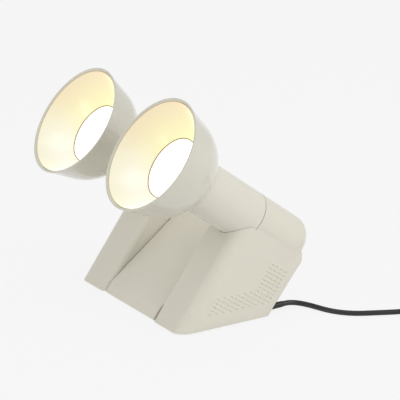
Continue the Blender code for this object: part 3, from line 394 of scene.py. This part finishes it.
def side_shell(name, side):
    "One side moulding in the body's frame: box, saddle, sleeve, hollow and bore. Also gives its outer x."
    low = side * SIDE_CENTRE - SIDE_HALF_WIDTH
    high = side * SIDE_CENTRE + SIDE_HALF_WIDTH
    outer, inner = (high, low) if side > 0 else (low, high)
    rise = floor_at(BODY_DEPTH)
    shell = block((low, 0, 0), (high, BODY_DEPTH, AXIS_HEIGHT), name)
    pick(shell, "VERT", lambda p: near(p.y, BODY_DEPTH) and near(p.z, 0))
    bpy.ops.transform.translate(value=(0, 0, rise))
    round_off(shell, lambda p: near(p.y, BODY_DEPTH) and near(p.z, AXIS_HEIGHT), REAR_ROUNDING, 10)
    round_off(shell, lambda p: near(p.y, 0) and near(p.x, outer), FRONT_OUTER, 12)
    round_off(shell, lambda p: near(p.y, 0) and near(p.x, inner), FRONT_INNER, 8)
    round_off(shell, lambda p: near(p.y, BODY_DEPTH) and near(p.x, outer), REAR_CORNER, 8)

    saddle = TUBE_RADIUS + SADDLE_CLEARANCE
    reach = SLEEVE_SETBACK + OVERRUN
    local = sleeve_mouth(side)
    combine(shell, closed_turned("saddle", [(0, saddle), (reach, saddle)], local))
    rear = -SLEEVE_LENGTH
    dome = quarter((rear + REAR_ROUNDING, TUBE_RADIUS - REAR_ROUNDING), REAR_ROUNDING, pi, pi / 2, 12)
    combine(shell, closed_turned("sleeve", dome + [(-GAP, TUBE_RADIUS)], local), "UNION")
    ceiling = AXIS_HEIGHT - saddle - WALL
    room = block((low + WALL, WALL, 0), (high - WALL, BODY_DEPTH - WALL, ceiling), "room")
    pick(room, "VERT", lambda p: near(p.z, 0))
    bpy.ops.transform.translate(value=(0, 0, -OVERRUN))
    pick(room, "VERT", lambda p: near(p.y, BODY_DEPTH - WALL) and p.z < 0)
    bpy.ops.transform.translate(value=(0, 0, rise - floor_at(WALL)))
    round_off(room, lambda p: near(p.y, WALL) and near(p.x, outer - side * WALL), FRONT_OUTER - WALL, 12)
    combine(shell, room)
    combine(shell, closed_turned("bore", [(-BORE_DEPTH, BORE_RADIUS), (OVERRUN, BORE_RADIUS)], local))
    return shell, outer


VENT_LENGTH = 0.0044
VENT_HEIGHT = 0.0016
VENT_COLUMN_PITCH = 0.0062
VENT_ROW_PITCH = 0.0043
VENT_EDGE = 0.012
VENT_FLOOR = 0.015
VENT_TOP = 0.108
VENT_DEPTH = 0.0006
VENT_COLUMNS = 10
TALL_COLUMNS = 4
SHORT_COLUMN_ROWS = 5


def vent_slots(outer):
    "One slot with round ends is modelled, and its copies stand in rows that follow the two edges."
    first = block((outer - VENT_DEPTH, -VENT_LENGTH / 2, -VENT_HEIGHT / 2),
                  (outer + VENT_DEPTH, VENT_LENGTH / 2, VENT_HEIGHT / 2))
    round_off(first, lambda p: True, VENT_HEIGHT / 3, 2)
    copies = []
    for column in range(VENT_COLUMNS):
        a = BODY_DEPTH - VENT_EDGE - column * VENT_COLUMN_PITCH
        c = floor_at(a, VENT_FLOOR)
        row = 0
        while c < VENT_TOP and (column < TALL_COLUMNS or row < SHORT_COLUMN_ROWS):
            copy = first.copy()
            copy.data = first.data.copy()
            copy.location = (0, a, c)
            bpy.context.scene.collection.objects.link(copy)
            copies.append(copy)
            c += VENT_ROW_PITCH
            row += 1
    bpy.data.objects.remove(first, do_unlink=True)
    deselect()
    for copy in copies:
        copy.select_set(True)
    bpy.context.view_layer.objects.active = copies[0]
    bpy.ops.object.join()
    return settle(bpy.context.object, "vents")


for word, side in SIDES.items():
    shell, outer = side_shell(word + "_side_moulding", side)
    soften(shell, EDGE_BREAK)
    combine(shell, vent_slots(outer))
    settle(shell, word + "_side_moulding", BODY_FRAME)
    if side > 0:
        hole_rings = [(-EXIT_HOLE_REACH, EXIT_HOLE_RADIUS), (EXIT_HOLE_REACH, EXIT_HOLE_RADIUS)]
        combine(shell, closed_turned("exit_hole", hole_rings, RELIEF_PLACE))
    shell.data.materials.clear()
    shell.data.materials.append(body_ivory)
    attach(shell, "base")
    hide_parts(word + "_side_shell")


def dress(piece, finish, body, slot_name, *replaced):
    """Gives a piece its finish and its body, and hides the CAD nodes that it stands for. Its slot name is not
    used.
    """
    piece.data.materials.clear()
    piece.data.materials.append(finish)
    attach(piece, body)
    if replaced:
        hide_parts(*replaced)


# Middle shell: one bent ivory wall between the side mouldings. It leans back from a low front
# lip as a shallow recess, turns over the top and comes down to the rear cover.
MIDDLE_HALF_WIDTH = SIDE_CENTRE - TUBE_RADIUS - GAP
FRONT_LIP = 0.0015
RECESS_START_C = 0.014
RECESS_TOP_C = 0.112
RECESS_SHOULDER = 0.012
RECESS_DEPTH = 0.030
TOP_C = AXIS_HEIGHT + 0.003
PANEL_FILLET = 0.005
PANEL_EDGE = 0.0005
REAR_COVER_TOP = 0.118
folds = [(FRONT_LIP, RECESS_START_C), (RECESS_DEPTH, RECESS_TOP_C), (RECESS_DEPTH + RECESS_SHOULDER, TOP_C),
         (BODY_DEPTH - PANEL_FILLET, TOP_C), (BODY_DEPTH, TOP_C - PANEL_FILLET)]
panel = [(FRONT_LIP, floor_at(FRONT_LIP))] + folds + [(BODY_DEPTH, REAR_COVER_TOP)]

deselect()
low_c, high_c = panel[0][1], panel[1][1]
bpy.ops.mesh.primitive_plane_add(size=1, location=(0, FRONT_LIP, (low_c + high_c) / 2),
                                 rotation=(pi / 2, 0, 0))
middle = bpy.context.object
middle.scale = (2 * MIDDLE_HALF_WIDTH, high_c - low_c, 1)
settle(middle, "middle_wall")
pick(middle, "VERT", lambda p: near(p.z, high_c))
for (a, c), (next_a, next_c) in zip(panel[1:], panel[2:]):
    bpy.ops.mesh.extrude_edges_move(TRANSFORM_OT_translate={"value": (0, next_a - a, next_c - c)})
bpy.ops.object.mode_set(mode="OBJECT")
round_off(middle, lambda p: any(near(p.y, a) and near(p.z, c) for a, c in folds), PANEL_FILLET / 2, 8)
thicken = middle.modifiers.new("wall", "SOLIDIFY")
thicken.thickness = WALL
thicken.offset = -1
thicken.use_even_offset = True
bpy.ops.object.modifier_apply(modifier=thicken.name)
soften(middle, PANEL_EDGE)
settle(middle, "middle_wall", BODY_FRAME)
dress(middle, body_ivory, "base", "ivory_plastic", "middle_shell")


# Rear cover: a flat ivory plate behind the transformer. It closes the opening under the middle
# shell's rear edge, and four cross-head screws near its corners hold it.
COVER_EDGE = 0.0004
def finer_copy(node, name, width, segments=3):
    "A copy of a CAD piece with its triangles merged into faces and its edges broken."
    deselect()
    copy = nodes[node].copy()
    copy.data = nodes[node].data.copy()
    copy.parent = None
    copy.matrix_world = Matrix.Identity(4)
    for key in list(copy.keys()):
        del copy[key]
    bpy.context.scene.collection.objects.link(copy)
    copy.hide_render = False
    bpy.context.view_layer.objects.active = copy
    copy.select_set(True)
    bpy.ops.object.mode_set(mode="EDIT")
    bpy.ops.mesh.select_all(action="SELECT")
    bpy.ops.mesh.remove_doubles(threshold=0.00001)
    bpy.ops.mesh.customdata_custom_splitnormals_clear()
    bpy.ops.mesh.dissolve_limited(angle_limit=radians(1))
    bpy.ops.object.mode_set(mode="OBJECT")
    settle(copy, name)
    soften(copy, width, segments=segments)
    return copy


SCREW_HEAD_RADIUS = 0.003
SCREW_HEAD_HEIGHT = 0.0016
SCREW_RADIUS = 0.0015
CROSS_REACH = 0.0017
CROSS_HALF_WIDTH = 0.0004
CROSS_DEPTH = 0.0008
SCREW_EDGE = 0.00012
SCREW_STEPS = 32
COVER_SCREW_LENGTH = 0.009
COVER_SCREW_INSET = 0.008
screw_steel = finish_material("screw_steel", (0.56, 0.56, 0.55), 0.28, metallic=1.0, grain=1200, depth=0.06)

dress(finer_copy("rear_cover", "rear_plate", COVER_EDGE), body_ivory, "base", "ivory_plastic", "rear_cover")

low_c = floor_at(BODY_DEPTH) + COVER_SCREW_INSET
high_c = REAR_COVER_TOP - COVER_SCREW_INSET
across_x = MIDDLE_HALF_WIDTH - COVER_SCREW_INSET
cover_spots = [(x, BODY_DEPTH, c) for x in (-across_x, across_x) for c in (low_c, high_c)]


def cross_head_screw(name, place, length):
    "A pan head with a cross recess on a plain shank; the head stands on the local Z axis."
    top = GAP + SCREW_HEAD_HEIGHT
    screw = closed_turned(name, [(-length, SCREW_RADIUS), (GAP, SCREW_RADIUS), (GAP, SCREW_HEAD_RADIUS),
                                 (GAP + SCREW_HEAD_HEIGHT * 0.6, SCREW_HEAD_RADIUS),
                                 (top, SCREW_HEAD_RADIUS * 0.7)], Matrix.Identity(4), SCREW_STEPS)
    for long_x, long_y in ((CROSS_REACH, CROSS_HALF_WIDTH), (CROSS_HALF_WIDTH, CROSS_REACH)):
        combine(screw, block((-long_x, -long_y, top - CROSS_DEPTH), (long_x, long_y, top + OVERRUN)))
    soften(screw, SCREW_EDGE, segments=2)
    return settle(screw, name, place)


for number, spot in enumerate(cover_spots, 1):
    screw_place = BODY_FRAME @ Matrix.Translation(spot) @ Matrix.Rotation(-pi / 2, 4, "X")
    screw = cross_head_screw(f"cover_screw_{number}", screw_place, COVER_SCREW_LENGTH)
    dress(screw, screw_steel, "base", "bright_steel", f"rear_cover_screw_{number}")


# Trays and foot pad: the underside. Two plastic plates close the side mouldings, a steel tray
# carries the transformer, and a ribbed black rubber pad stands on the table.
PAD_EDGE = 0.0004
tray_plastic = finish_material("tray_plastic", (0.52, 0.50, 0.42), 0.45, grain=500, depth=0.12, wander=0.03)
tray_steel = finish_material("tray_steel", (0.50, 0.50, 0.50), 0.36, metallic=1.0, grain=300, depth=0.05)
pad_rubber = finish_material("pad_rubber", (0.022, 0.022, 0.022), 0.72, grain=1500, depth=0.25, wander=0.2)


def refinish(finish, *names):
    "Gives CAD pieces whose shape is right a finish."
    for name in names:
        for spot in nodes[name].material_slots:
            spot.material = finish


refinish(tray_plastic, "right_side_tray", "left_side_tray")
refinish(tray_steel, "middle_tray")
dress(finer_copy("foot_pad", "table_pad", PAD_EDGE), pad_rubber, "base", "black_rubber", "foot_pad")


# Transformer and leads: a laminated core with a taped winding under a steel strap, the terminal
# block, and black leads to the mains and to both tubes.
core_iron = finish_material("core_iron", (0.12, 0.12, 0.13), 0.42, metallic=0.9, grain=40, depth=0.3)
winding_copper = finish_material("winding_copper", (0.55, 0.24, 0.10), 0.35, metallic=0.9, grain=200,
                                 depth=0.3)
block_nylon = finish_material("block_nylon", (0.80, 0.79, 0.72), 0.42, grain=500, depth=0.05)
lead_rubber = finish_material("lead_rubber", (0.016, 0.016, 0.017), 0.42, grain=900, depth=0.08, wander=0.15)
refinish(core_iron, "transformer_core")
refinish(winding_copper, "transformer_winding")
refinish(tray_steel, "transformer_strap", "tray_screw_1", "tray_screw_2", "tray_screw_3", "tray_screw_4")
refinish(block_nylon, "terminal_block")
refinish(lead_rubber, "right_lead", "left_lead", "mains_lead")


# Turning tubes: painted aluminium tubes, as wide as the sleeves. Each has a shoulder at the sleeve's
# mouth and a thinner spigot that turns in a nylon bush, held by a steel ring.
TUBE_WALL = 0.0025
TUBE_LENGTH = 0.0734
SPIGOT_RADIUS = 0.020
SPIGOT_LENGTH = 0.042
SHOULDER = 0.003
TUBE_EDGE = 0.0003
TUBE_STEPS = 128
tube_enamel = finish_material("tube_enamel", (0.690, 0.668, 0.588), 0.26, coat=0.35, grain=700, depth=0.03,
                              wander=0.012)
tube_inner = TUBE_RADIUS - TUBE_WALL
spigot_inner = SPIGOT_RADIUS - TUBE_WALL
tube_rings = [(-SPIGOT_LENGTH, spigot_inner), (-SPIGOT_LENGTH, SPIGOT_RADIUS), (GAP, SPIGOT_RADIUS),
              (GAP, TUBE_RADIUS), (TUBE_LENGTH, TUBE_RADIUS), (TUBE_LENGTH, tube_inner),
              (GAP + SHOULDER, tube_inner), (GAP + SHOULDER, spigot_inner)]

for word, side in SIDES.items():
    tube = turned(word + "_turning_tube", tube_rings, axis_frame(side), TUBE_STEPS)
    soften(tube, TUBE_EDGE)
    dress(tube, tube_enamel, word + "_arm", "ivory_gloss", word + "_arm_tube")
refinish(block_nylon, "right_sleeve_bush", "left_sleeve_bush")
refinish(tray_steel, "right_tube_retainer", "left_tube_retainer")


# Neck collars: each carries on the bowl's ball shape down to its tube, with a slanted front face.
# Inside, a steel sleeve, a ring and a clamp hold the bowl so that it swivels on that slant.
RIM_RADIUS = 0.060
RIM_REACH = 0.1363
SPHERE_RADIUS = 0.0545
SPHERE_SETBACK = 0.0154
BALL_CENTRE = RIM_REACH - SPHERE_SETBACK
SWIVEL_SLANT = radians(6)
SWIVEL_PLANE = -SPHERE_RADIUS * cos(radians(40))
SWIVEL_HOLE_RADIUS = 0.0261
COLLAR_WALL = 0.0014
COLLAR_SPIGOT_LENGTH = 0.008
COLLAR_END_ANGLE = radians(112)
SEAT_DEPTH = 0.0018
CUTTER_REACH = 0.08


def head_frame(side):
    "At the middle of the bowl's ball, on the tube's axis."
    return axis_frame(side) @ Matrix.Translation((0, 0, BALL_CENTRE))


def swivel_frame(side, along=0.0):
    "At a point on the slanted swivel axis, counted from the middle of the bowl's ball."
    return head_frame(side) @ Matrix.Rotation(SWIVEL_SLANT, 4, "X") @ Matrix.Translation((0, 0, along))


tube_front = TUBE_LENGTH - BALL_CENTRE + GAP
collar_spigot = tube_inner - GAP
collar_inner = collar_spigot - COLLAR_WALL
seam_angle = pi - atan2(TUBE_RADIUS, -tube_front)
collar_ball = [(along, radius) for along, radius
               in quarter((0, 0), SPHERE_RADIUS, seam_angle, COLLAR_END_ANGLE, 24) if along > tube_front]
spigot_end = tube_front - COLLAR_SPIGOT_LENGTH
collar_rings = ([(spigot_end, collar_inner), (spigot_end, collar_spigot),
                 (tube_front, collar_spigot), (tube_front, TUBE_RADIUS)] + collar_ball
                + [(collar_ball[-1][0], collar_inner)])
for word, side in SIDES.items():
    collar = turned(word + "_neck", collar_rings, head_frame(side), TUBE_STEPS)
    front_block = block((-CUTTER_REACH, -CUTTER_REACH, 0), (CUTTER_REACH, CUTTER_REACH, CUTTER_REACH))
    combine(collar, settle(front_block, "front_block", swivel_frame(side, SWIVEL_PLANE - GAP / 2)))
    seat_rings = [(-SEAT_DEPTH, SWIVEL_HOLE_RADIUS), (OVERRUN, SWIVEL_HOLE_RADIUS)]
    combine(collar, closed_turned("seat", seat_rings, swivel_frame(side, SWIVEL_PLANE)))
    soften(collar, TUBE_EDGE)
    dress(collar, tube_enamel, word + "_arm", "ivory_gloss", word + "_neck_collar")
refinish(tray_steel, "right_swivel_sleeve", "left_swivel_sleeve", "right_swivel_plate", "left_swivel_plate",
         "right_clamp_ring", "left_clamp_ring")


# Bowls: spun metal, enamelled glossy ivory inside and out. A straight flare at the rim runs into a
# ball, whose back is cut on the slant of the swivel.
BOWL_WALL = 0.002
BOWL_EDGE = 0.0007
BOWL_STEPS = 160
bowl_enamel = finish_material("bowl_enamel", (0.610, 0.592, 0.515), 0.15, coat=0.7, grain=260, depth=0.012,
                              wander=0.012)


def bowl_outline(loss):
    "The bowl's profile from its rim to near the pole behind it, on a surface set in by the loss."
    ball = SPHERE_RADIUS - loss
    rim = RIM_RADIUS - loss
    reach = hypot(SPHERE_SETBACK, rim)
    touch = atan2(rim, SPHERE_SETBACK) + atan2(sqrt(reach ** 2 - ball ** 2), ball)
    return [(SPHERE_SETBACK, rim)] + quarter((0, 0), ball, touch, radians(165), 40)


bowl_rings = bowl_outline(0) + list(reversed(bowl_outline(BOWL_WALL)))
for word, side in SIDES.items():
    bowl = turned(word + "_spun_bowl", bowl_rings, head_frame(side), BOWL_STEPS)
    back_block = block((-0.06, -0.06, -0.03), (0.06, 0.06, 0))
    combine(bowl, settle(back_block, "back_block", swivel_frame(side, SWIVEL_PLANE + GAP / 2)))
    soften(bowl, BOWL_EDGE, segments=4)
    dress(bowl, bowl_enamel, word + "_head", "ivory_gloss", word + "_bowl")


# Reflectors and lamps: a spun liner with a round opening in each bowl, and the lit reflector lamp
# behind it. A thin brown bead marks the edge of the opening. The lamp's light on the liner is a painted
# glow: emission in the liner's material.
LINER_RIM_RADIUS = 0.0566
LINER_INSET = 0.0012
LINER_DEPTH = 0.030
LINER_FRONT = SPHERE_SETBACK - LINER_INSET
LINER_BACK = SPHERE_SETBACK - LINER_DEPTH
LINER_OPENING = 0.032
LINER_WALL = 0.001
LINER_BULGE = 0.0024
LINER_STEPS = 24
GLASS_EDGE_START = 0.0290
GLASS_EDGE_END = 0.0322
LAMP_RADIUS = 0.0334
LAMP_DEPTH = 0.037
CAP_RADIUS = 0.0065
CAP_LENGTH = 0.012
BEAD_OVERHANG = 0.0006
LINER_EDGE = 0.0001
LAMP_EDGE = 0.0003
BEAD_EDGE = 0.0002
FORWARD = Vector((0, -cos(LEAN), sin(LEAN)))
UPWARD = Vector((0, sin(LEAN), cos(LEAN)))


def off_axis(tree, centre):
    "Object coordinates counted from the ball's middle, and their distance from the tube's axis."
    place = tree.nodes.new("ShaderNodeTexCoord")
    shift = tree.nodes.new("ShaderNodeVectorMath")
    shift.operation = "SUBTRACT"
    shift.inputs[1].default_value = centre
    tree.links.new(place.outputs["Object"], shift.inputs[0])
    aside = tree.nodes.new("ShaderNodeVectorMath")
    aside.operation = "CROSS_PRODUCT"
    aside.inputs[1].default_value = FORWARD
    tree.links.new(shift.outputs["Vector"], aside.inputs[0])
    length = tree.nodes.new("ShaderNodeVectorMath")
    length.operation = "LENGTH"
    tree.links.new(aside.outputs["Vector"], length.inputs[0])
    return shift.outputs["Vector"], length.outputs["Value"]


def graded(tree, value, low, high, stops):
    "A colour that follows a value between two limits through some stops."
    spread = tree.nodes.new("ShaderNodeMapRange")
    spread.inputs["From Min"].default_value = low
    spread.inputs["From Max"].default_value = high
    tree.links.new(value, spread.inputs["Value"])
    ramp = tree.nodes.new("ShaderNodeValToRGB")
    while len(ramp.color_ramp.elements) < len(stops):
        ramp.color_ramp.elements.new(0.5)
    for stop, (position, colour) in zip(ramp.color_ramp.elements, stops):
        stop.position = position
        stop.color = (*colour, 1)
    tree.links.new(spread.outputs["Result"], ramp.inputs["Fac"])
    return ramp.outputs["Color"]


def warm_liner(name, centre):
    "Cream enamel that glows with the lamp's light: peach at the top rim, yellow by the lamp, white below."
    made = finish_material(name, (0.27, 0.25, 0.15), 0.22, coat=0.4, grain=260, depth=0.02)
    tree = made.node_tree
    shader = tree.nodes["Principled BSDF"]
    offset, distance = off_axis(tree, centre)
    upper = graded(tree, distance, LINER_OPENING, LINER_RIM_RADIUS,
                   [(0.0, (0.98, 0.97, 0.52)), (0.35, (0.96, 0.89, 0.52)), (1.0, (0.87, 0.70, 0.50))])
    lower = graded(tree, distance, LINER_OPENING, LINER_RIM_RADIUS,
                   [(0.0, (0.99, 0.97, 0.86)), (0.4, (1.0, 0.99, 0.93)), (1.0, (0.92, 0.90, 0.74))])
    height = tree.nodes.new("ShaderNodeVectorMath")
    height.operation = "DOT_PRODUCT"
    height.inputs[1].default_value = UPWARD
    tree.links.new(offset, height.inputs[0])
    share = tree.nodes.new("ShaderNodeMapRange")
    share.interpolation_type = "SMOOTHSTEP"
    share.inputs["From Min"].default_value = -0.030
    share.inputs["From Max"].default_value = 0.026
    tree.links.new(height.outputs["Value"], share.inputs["Value"])
    blend = tree.nodes.new("ShaderNodeMix")
    blend.data_type = "RGBA"
    tree.links.new(share.outputs["Result"], blend.inputs["Factor"])
    tree.links.new(lower, blend.inputs[6])
    tree.links.new(upper, blend.inputs[7])
    # painted glow: the lamp's light on the liner, given as coloured emission that is peach above, yellow near
    # the lamp and white below
    tree.links.new(blend.outputs[2], shader.inputs["Emission Color"])
    shader.inputs["Emission Strength"].default_value = 0.70
    return made


def lit_glass(name, centre):
    "The lamp's front glass, lit: white all over with a peach edge."
    made = finish_material(name, (0.80, 0.78, 0.72), 0.10, coat=0.5, grain=120, depth=0.02)
    tree = made.node_tree
    shader = tree.nodes["Principled BSDF"]
    distance = off_axis(tree, centre)[1]
    glow = graded(tree, distance, GLASS_EDGE_START, GLASS_EDGE_END,
                  [(0.0, (1.0, 0.99, 0.95)), (0.45, (1.0, 0.95, 0.84)), (0.85, (0.62, 0.44, 0.30))])
    tree.links.new(glow, shader.inputs["Emission Color"])
    shader.inputs["Emission Strength"].default_value = 2.2
    return made


bead_brown = finish_material("bead_brown", (0.10, 0.052, 0.022), 0.4, grain=600, depth=0.05)
cap_ceramic = finish_material("cap_ceramic", (0.80, 0.78, 0.72), 0.5, grain=800, depth=0.1)
liner_rings = [(LINER_FRONT, LINER_RIM_RADIUS)]
for i in range(1, LINER_STEPS + 1):
    share = i / LINER_STEPS
    bulge = sin(share * pi) * LINER_BULGE
    liner_rings.append((LINER_FRONT + (LINER_BACK - LINER_FRONT) * share,
                        LINER_RIM_RADIUS + (LINER_OPENING - LINER_RIM_RADIUS) * share + bulge))
liner_behind = [(along - LINER_WALL, radius + LINER_WALL / 4) for along, radius in reversed(liner_rings)]
LAMP_FACE = LINER_BACK - LINER_WALL - GAP
LAMP_CAP = LAMP_FACE - LAMP_DEPTH
lamp_rings = [(LAMP_CAP - CAP_LENGTH, CAP_RADIUS), (LAMP_CAP, CAP_RADIUS), (LAMP_CAP, 0.009),
              (LAMP_FACE - 0.015, 0.018), (LAMP_FACE - 0.008, 0.0285), (LAMP_FACE - 0.004, LAMP_RADIUS),
              (LAMP_FACE, LAMP_RADIUS),
              (LAMP_FACE + 0.0003, 0.026), (LAMP_FACE + 0.0006, 0.015), (LAMP_FACE + 0.0007, 0.004)]
bead_inner = LINER_OPENING - BEAD_OVERHANG
bead_outer = LINER_OPENING + 0.0002
bead_rings = [(LINER_BACK - 0.0003, bead_inner), (LINER_BACK - 0.0003, bead_outer),
              (LINER_BACK + 0.0004, bead_outer), (LINER_BACK + 0.0004, bead_inner)]
for word, side in SIDES.items():
    centre = head_frame(side).translation
    liner = turned(word + "_liner", liner_rings + liner_behind, head_frame(side), TUBE_STEPS)
    soften(liner, LINER_EDGE, segments=2)
    # the liner carries the painted glow of the lamp's light
    dress(liner, warm_liner(word + "_warm_liner", centre), word + "_head", "warm_liner", word + "_reflector")
    lamp = closed_turned(word + "_lit_lamp", lamp_rings, head_frame(side))
    soften(lamp, LAMP_EDGE)
    dress(lamp, lit_glass(word + "_lit_glass", centre), word + "_head", "lit_glass", word + "_reflector_lamp")
    bead = turned(word + "_opening_bead", bead_rings, head_frame(side), TUBE_STEPS)
    soften(bead, BEAD_EDGE)
    dress(bead, bead_brown, word + "_head", "warm_liner")
refinish(cap_ceramic, "right_lamp_holder", "left_lamp_holder")


# Strain relief: a tapered black rubber sleeve with ribs, moulded on the cord where it leaves the
# right-hand moulding's rear wall.
RELIEF_RADIUS = 0.0035
RELIEF_TAPER = 0.0004
RIB_COUNT = 7
RIB_PITCH = 0.0025
RIB_LENGTH = 0.0014
RIB_HEIGHT = 0.0004
RELIEF_EDGE = 0.0001
RELIEF_STEPS = 48
relief_rings = [(-0.009, RELIEF_RADIUS), (0.0012, RELIEF_RADIUS)]
for i in range(RIB_COUNT):
    start = 0.0018 + i * RIB_PITCH
    radius = RELIEF_RADIUS - RELIEF_TAPER * start / RELIEF_LENGTH
    relief_rings += [(start, radius), (start + RIB_LENGTH, radius),
                     (start + RIB_LENGTH + 0.0002, radius - RIB_HEIGHT),
                     (start + RIB_PITCH - 0.0002, radius - RIB_HEIGHT)]
relief_rings += [(RELIEF_LENGTH - 0.0003, 0.0031), (RELIEF_LENGTH, 0.0030)]
relief = closed_turned("ribbed_relief", relief_rings, RELIEF_PLACE, RELIEF_STEPS)
soften(relief, RELIEF_EDGE, segments=2)
dress(relief, cord_rubber, "base", "black_rubber", "strain_relief")


# In-line switch: a two-part black housing on the cord with a rocker in a window. The two halves
# close round the cord, and the rocker tips on a pin between them.
SWITCH_EDGE = 0.0008
ROCKER_EDGE = 0.0004
switch_black = finish_material("switch_black", (0.020, 0.020, 0.021), 0.33, coat=0.2, grain=1100, depth=0.08,
                               wander=0.1)
switch_middle = switch_entry + SWITCH_HEADING * (GAP + SWITCH_LENGTH / 2)
switch_place = (Matrix.Translation((switch_middle.x, switch_middle.y, SWITCH_HEIGHT / 2))
                @ Matrix.Rotation(atan2(SWITCH_HEADING.y, SWITCH_HEADING.x), 4, "Z")
                @ Matrix.Rotation(pi / 2, 4, "Y"))
for node, name in (("switch_base", "switch_lower_half"), ("switch_cover", "switch_upper_half")):
    half = finer_copy(node, name, SWITCH_EDGE)
    bore = CORD_RADIUS + GAP / 2
    combine(half, closed_turned("passage", [(-SWITCH_LENGTH, bore), (SWITCH_LENGTH, bore)], switch_place, 48))
    dress(half, switch_black, "base", "black_plastic", node)
rocker = finer_copy("switch_rocker", "rocker", ROCKER_EDGE)
dress(rocker, switch_black, "switch_rocker", "black_plastic", "switch_rocker")


# Plug: a flat moulded black body with two round steel pins, at the far end of the cord.
PLUG_EDGE = 0.0016
pin_steel = finish_material("pin_steel", (0.62, 0.61, 0.58), 0.22, metallic=1.0, grain=900, depth=0.03)
plug_shell = finer_copy("plug_body", "moulded_plug", PLUG_EDGE, 4)
dress(plug_shell, switch_black, "base", "black_plastic", "plug_body")
refinish(pin_steel, "right_plug_pin", "left_plug_pin")


# Table and studio: a pale floor that keeps the lamp's shadow, an even pale world, a large soft
# light beside and behind the lamp's right-hand side, and weak ones over it and low in front.
BACKDROP = (0.934, 0.934, 0.934)
FLOOR_SIZE = 30
FLOOR_DROP = 0.0002
FLOOR_GLOW = 0.93
AIM_POINT = (0, 0, 0.1)
SOFTBOX_COLOUR = (1.0, 0.99, 0.97)
deselect()
bpy.ops.mesh.primitive_plane_add(size=FLOOR_SIZE, location=(0, 0, -FLOOR_DROP))
floor = bpy.context.object
floor.name = "pale_floor"
floor_finish = bpy.data.materials.new("pale_floor")
floor_finish.use_nodes = True
tree = floor_finish.node_tree
floor_shader = tree.nodes["Principled BSDF"]
floor_shader.inputs["Base Color"].default_value = (0.86, 0.86, 0.86, 1)
floor_shader.inputs["Roughness"].default_value = 0.9
floor_shader.inputs["Specular IOR Level"].default_value = 0.1
seen = tree.nodes.new("ShaderNodeLightPath")
either = tree.nodes.new("ShaderNodeMath")
either.operation = "MAXIMUM"
tree.links.new(seen.outputs["Is Camera Ray"], either.inputs[0])
tree.links.new(seen.outputs["Is Glossy Ray"], either.inputs[1])
any_seen = tree.nodes.new("ShaderNodeMath")
any_seen.operation = "MAXIMUM"
tree.links.new(either.outputs[0], any_seen.inputs[0])
tree.links.new(seen.outputs["Is Transmission Ray"], any_seen.inputs[1])
amount = tree.nodes.new("ShaderNodeMath")
amount.operation = "MULTIPLY"
amount.inputs[1].default_value = FLOOR_GLOW
tree.links.new(any_seen.outputs[0], amount.inputs[0])
pale = tree.nodes.new("ShaderNodeEmission")
pale.inputs["Color"].default_value = (*BACKDROP, 1)
mixed = tree.nodes.new("ShaderNodeMixShader")
tree.links.new(amount.outputs[0], mixed.inputs["Fac"])
tree.links.new(floor_shader.outputs["BSDF"], mixed.inputs[1])
tree.links.new(pale.outputs["Emission"], mixed.inputs[2])
tree.links.new(mixed.outputs["Shader"], tree.nodes["Material Output"].inputs["Surface"])
floor.data.materials.append(floor_finish)

world = bpy.data.worlds.new("studio")
bpy.context.scene.world = world
world.use_nodes = True
world_tree = world.node_tree
world_light = world_tree.nodes["Background"]
world_light.inputs["Color"].default_value = (1.0, 0.995, 0.98, 1)
world_light.inputs["Strength"].default_value = 0.70
world_seen = world_tree.nodes.new("ShaderNodeLightPath")
world_pale = world_tree.nodes.new("ShaderNodeBackground")
world_pale.inputs["Color"].default_value = (*BACKDROP, 1)
world_mixed = world_tree.nodes.new("ShaderNodeMixShader")
world_tree.links.new(world_seen.outputs["Is Camera Ray"], world_mixed.inputs["Fac"])
world_tree.links.new(world_light.outputs["Background"], world_mixed.inputs[1])
world_tree.links.new(world_pale.outputs["Background"], world_mixed.inputs[2])
world_tree.links.new(world_mixed.outputs["Shader"], world_tree.nodes["World Output"].inputs["Surface"])


def soft_light(name, place, size, power):
    "One large square lamp that points at the lamp's body."
    deselect()
    direction = Vector(AIM_POINT) - Vector(place)
    turn = direction.to_track_quat("-Z", "Y").to_euler()
    bpy.ops.object.light_add(type="AREA", location=place, rotation=turn)
    lamp = bpy.context.object
    lamp.name = name
    lamp.data.size = size
    lamp.data.energy = power
    lamp.data.color = SOFTBOX_COLOUR


soft_light("side_softbox", (1.25, 0.75, 0.95), 0.9, 8.8)
soft_light("top_softbox", (0.1, -0.2, 1.6), 0.9, 2.5)
soft_light("front_softbox", (0.0, -1.3, 0.40), 0.7, 2.8)

bpy.context.scene.view_settings.view_transform = "Standard"

deselect()
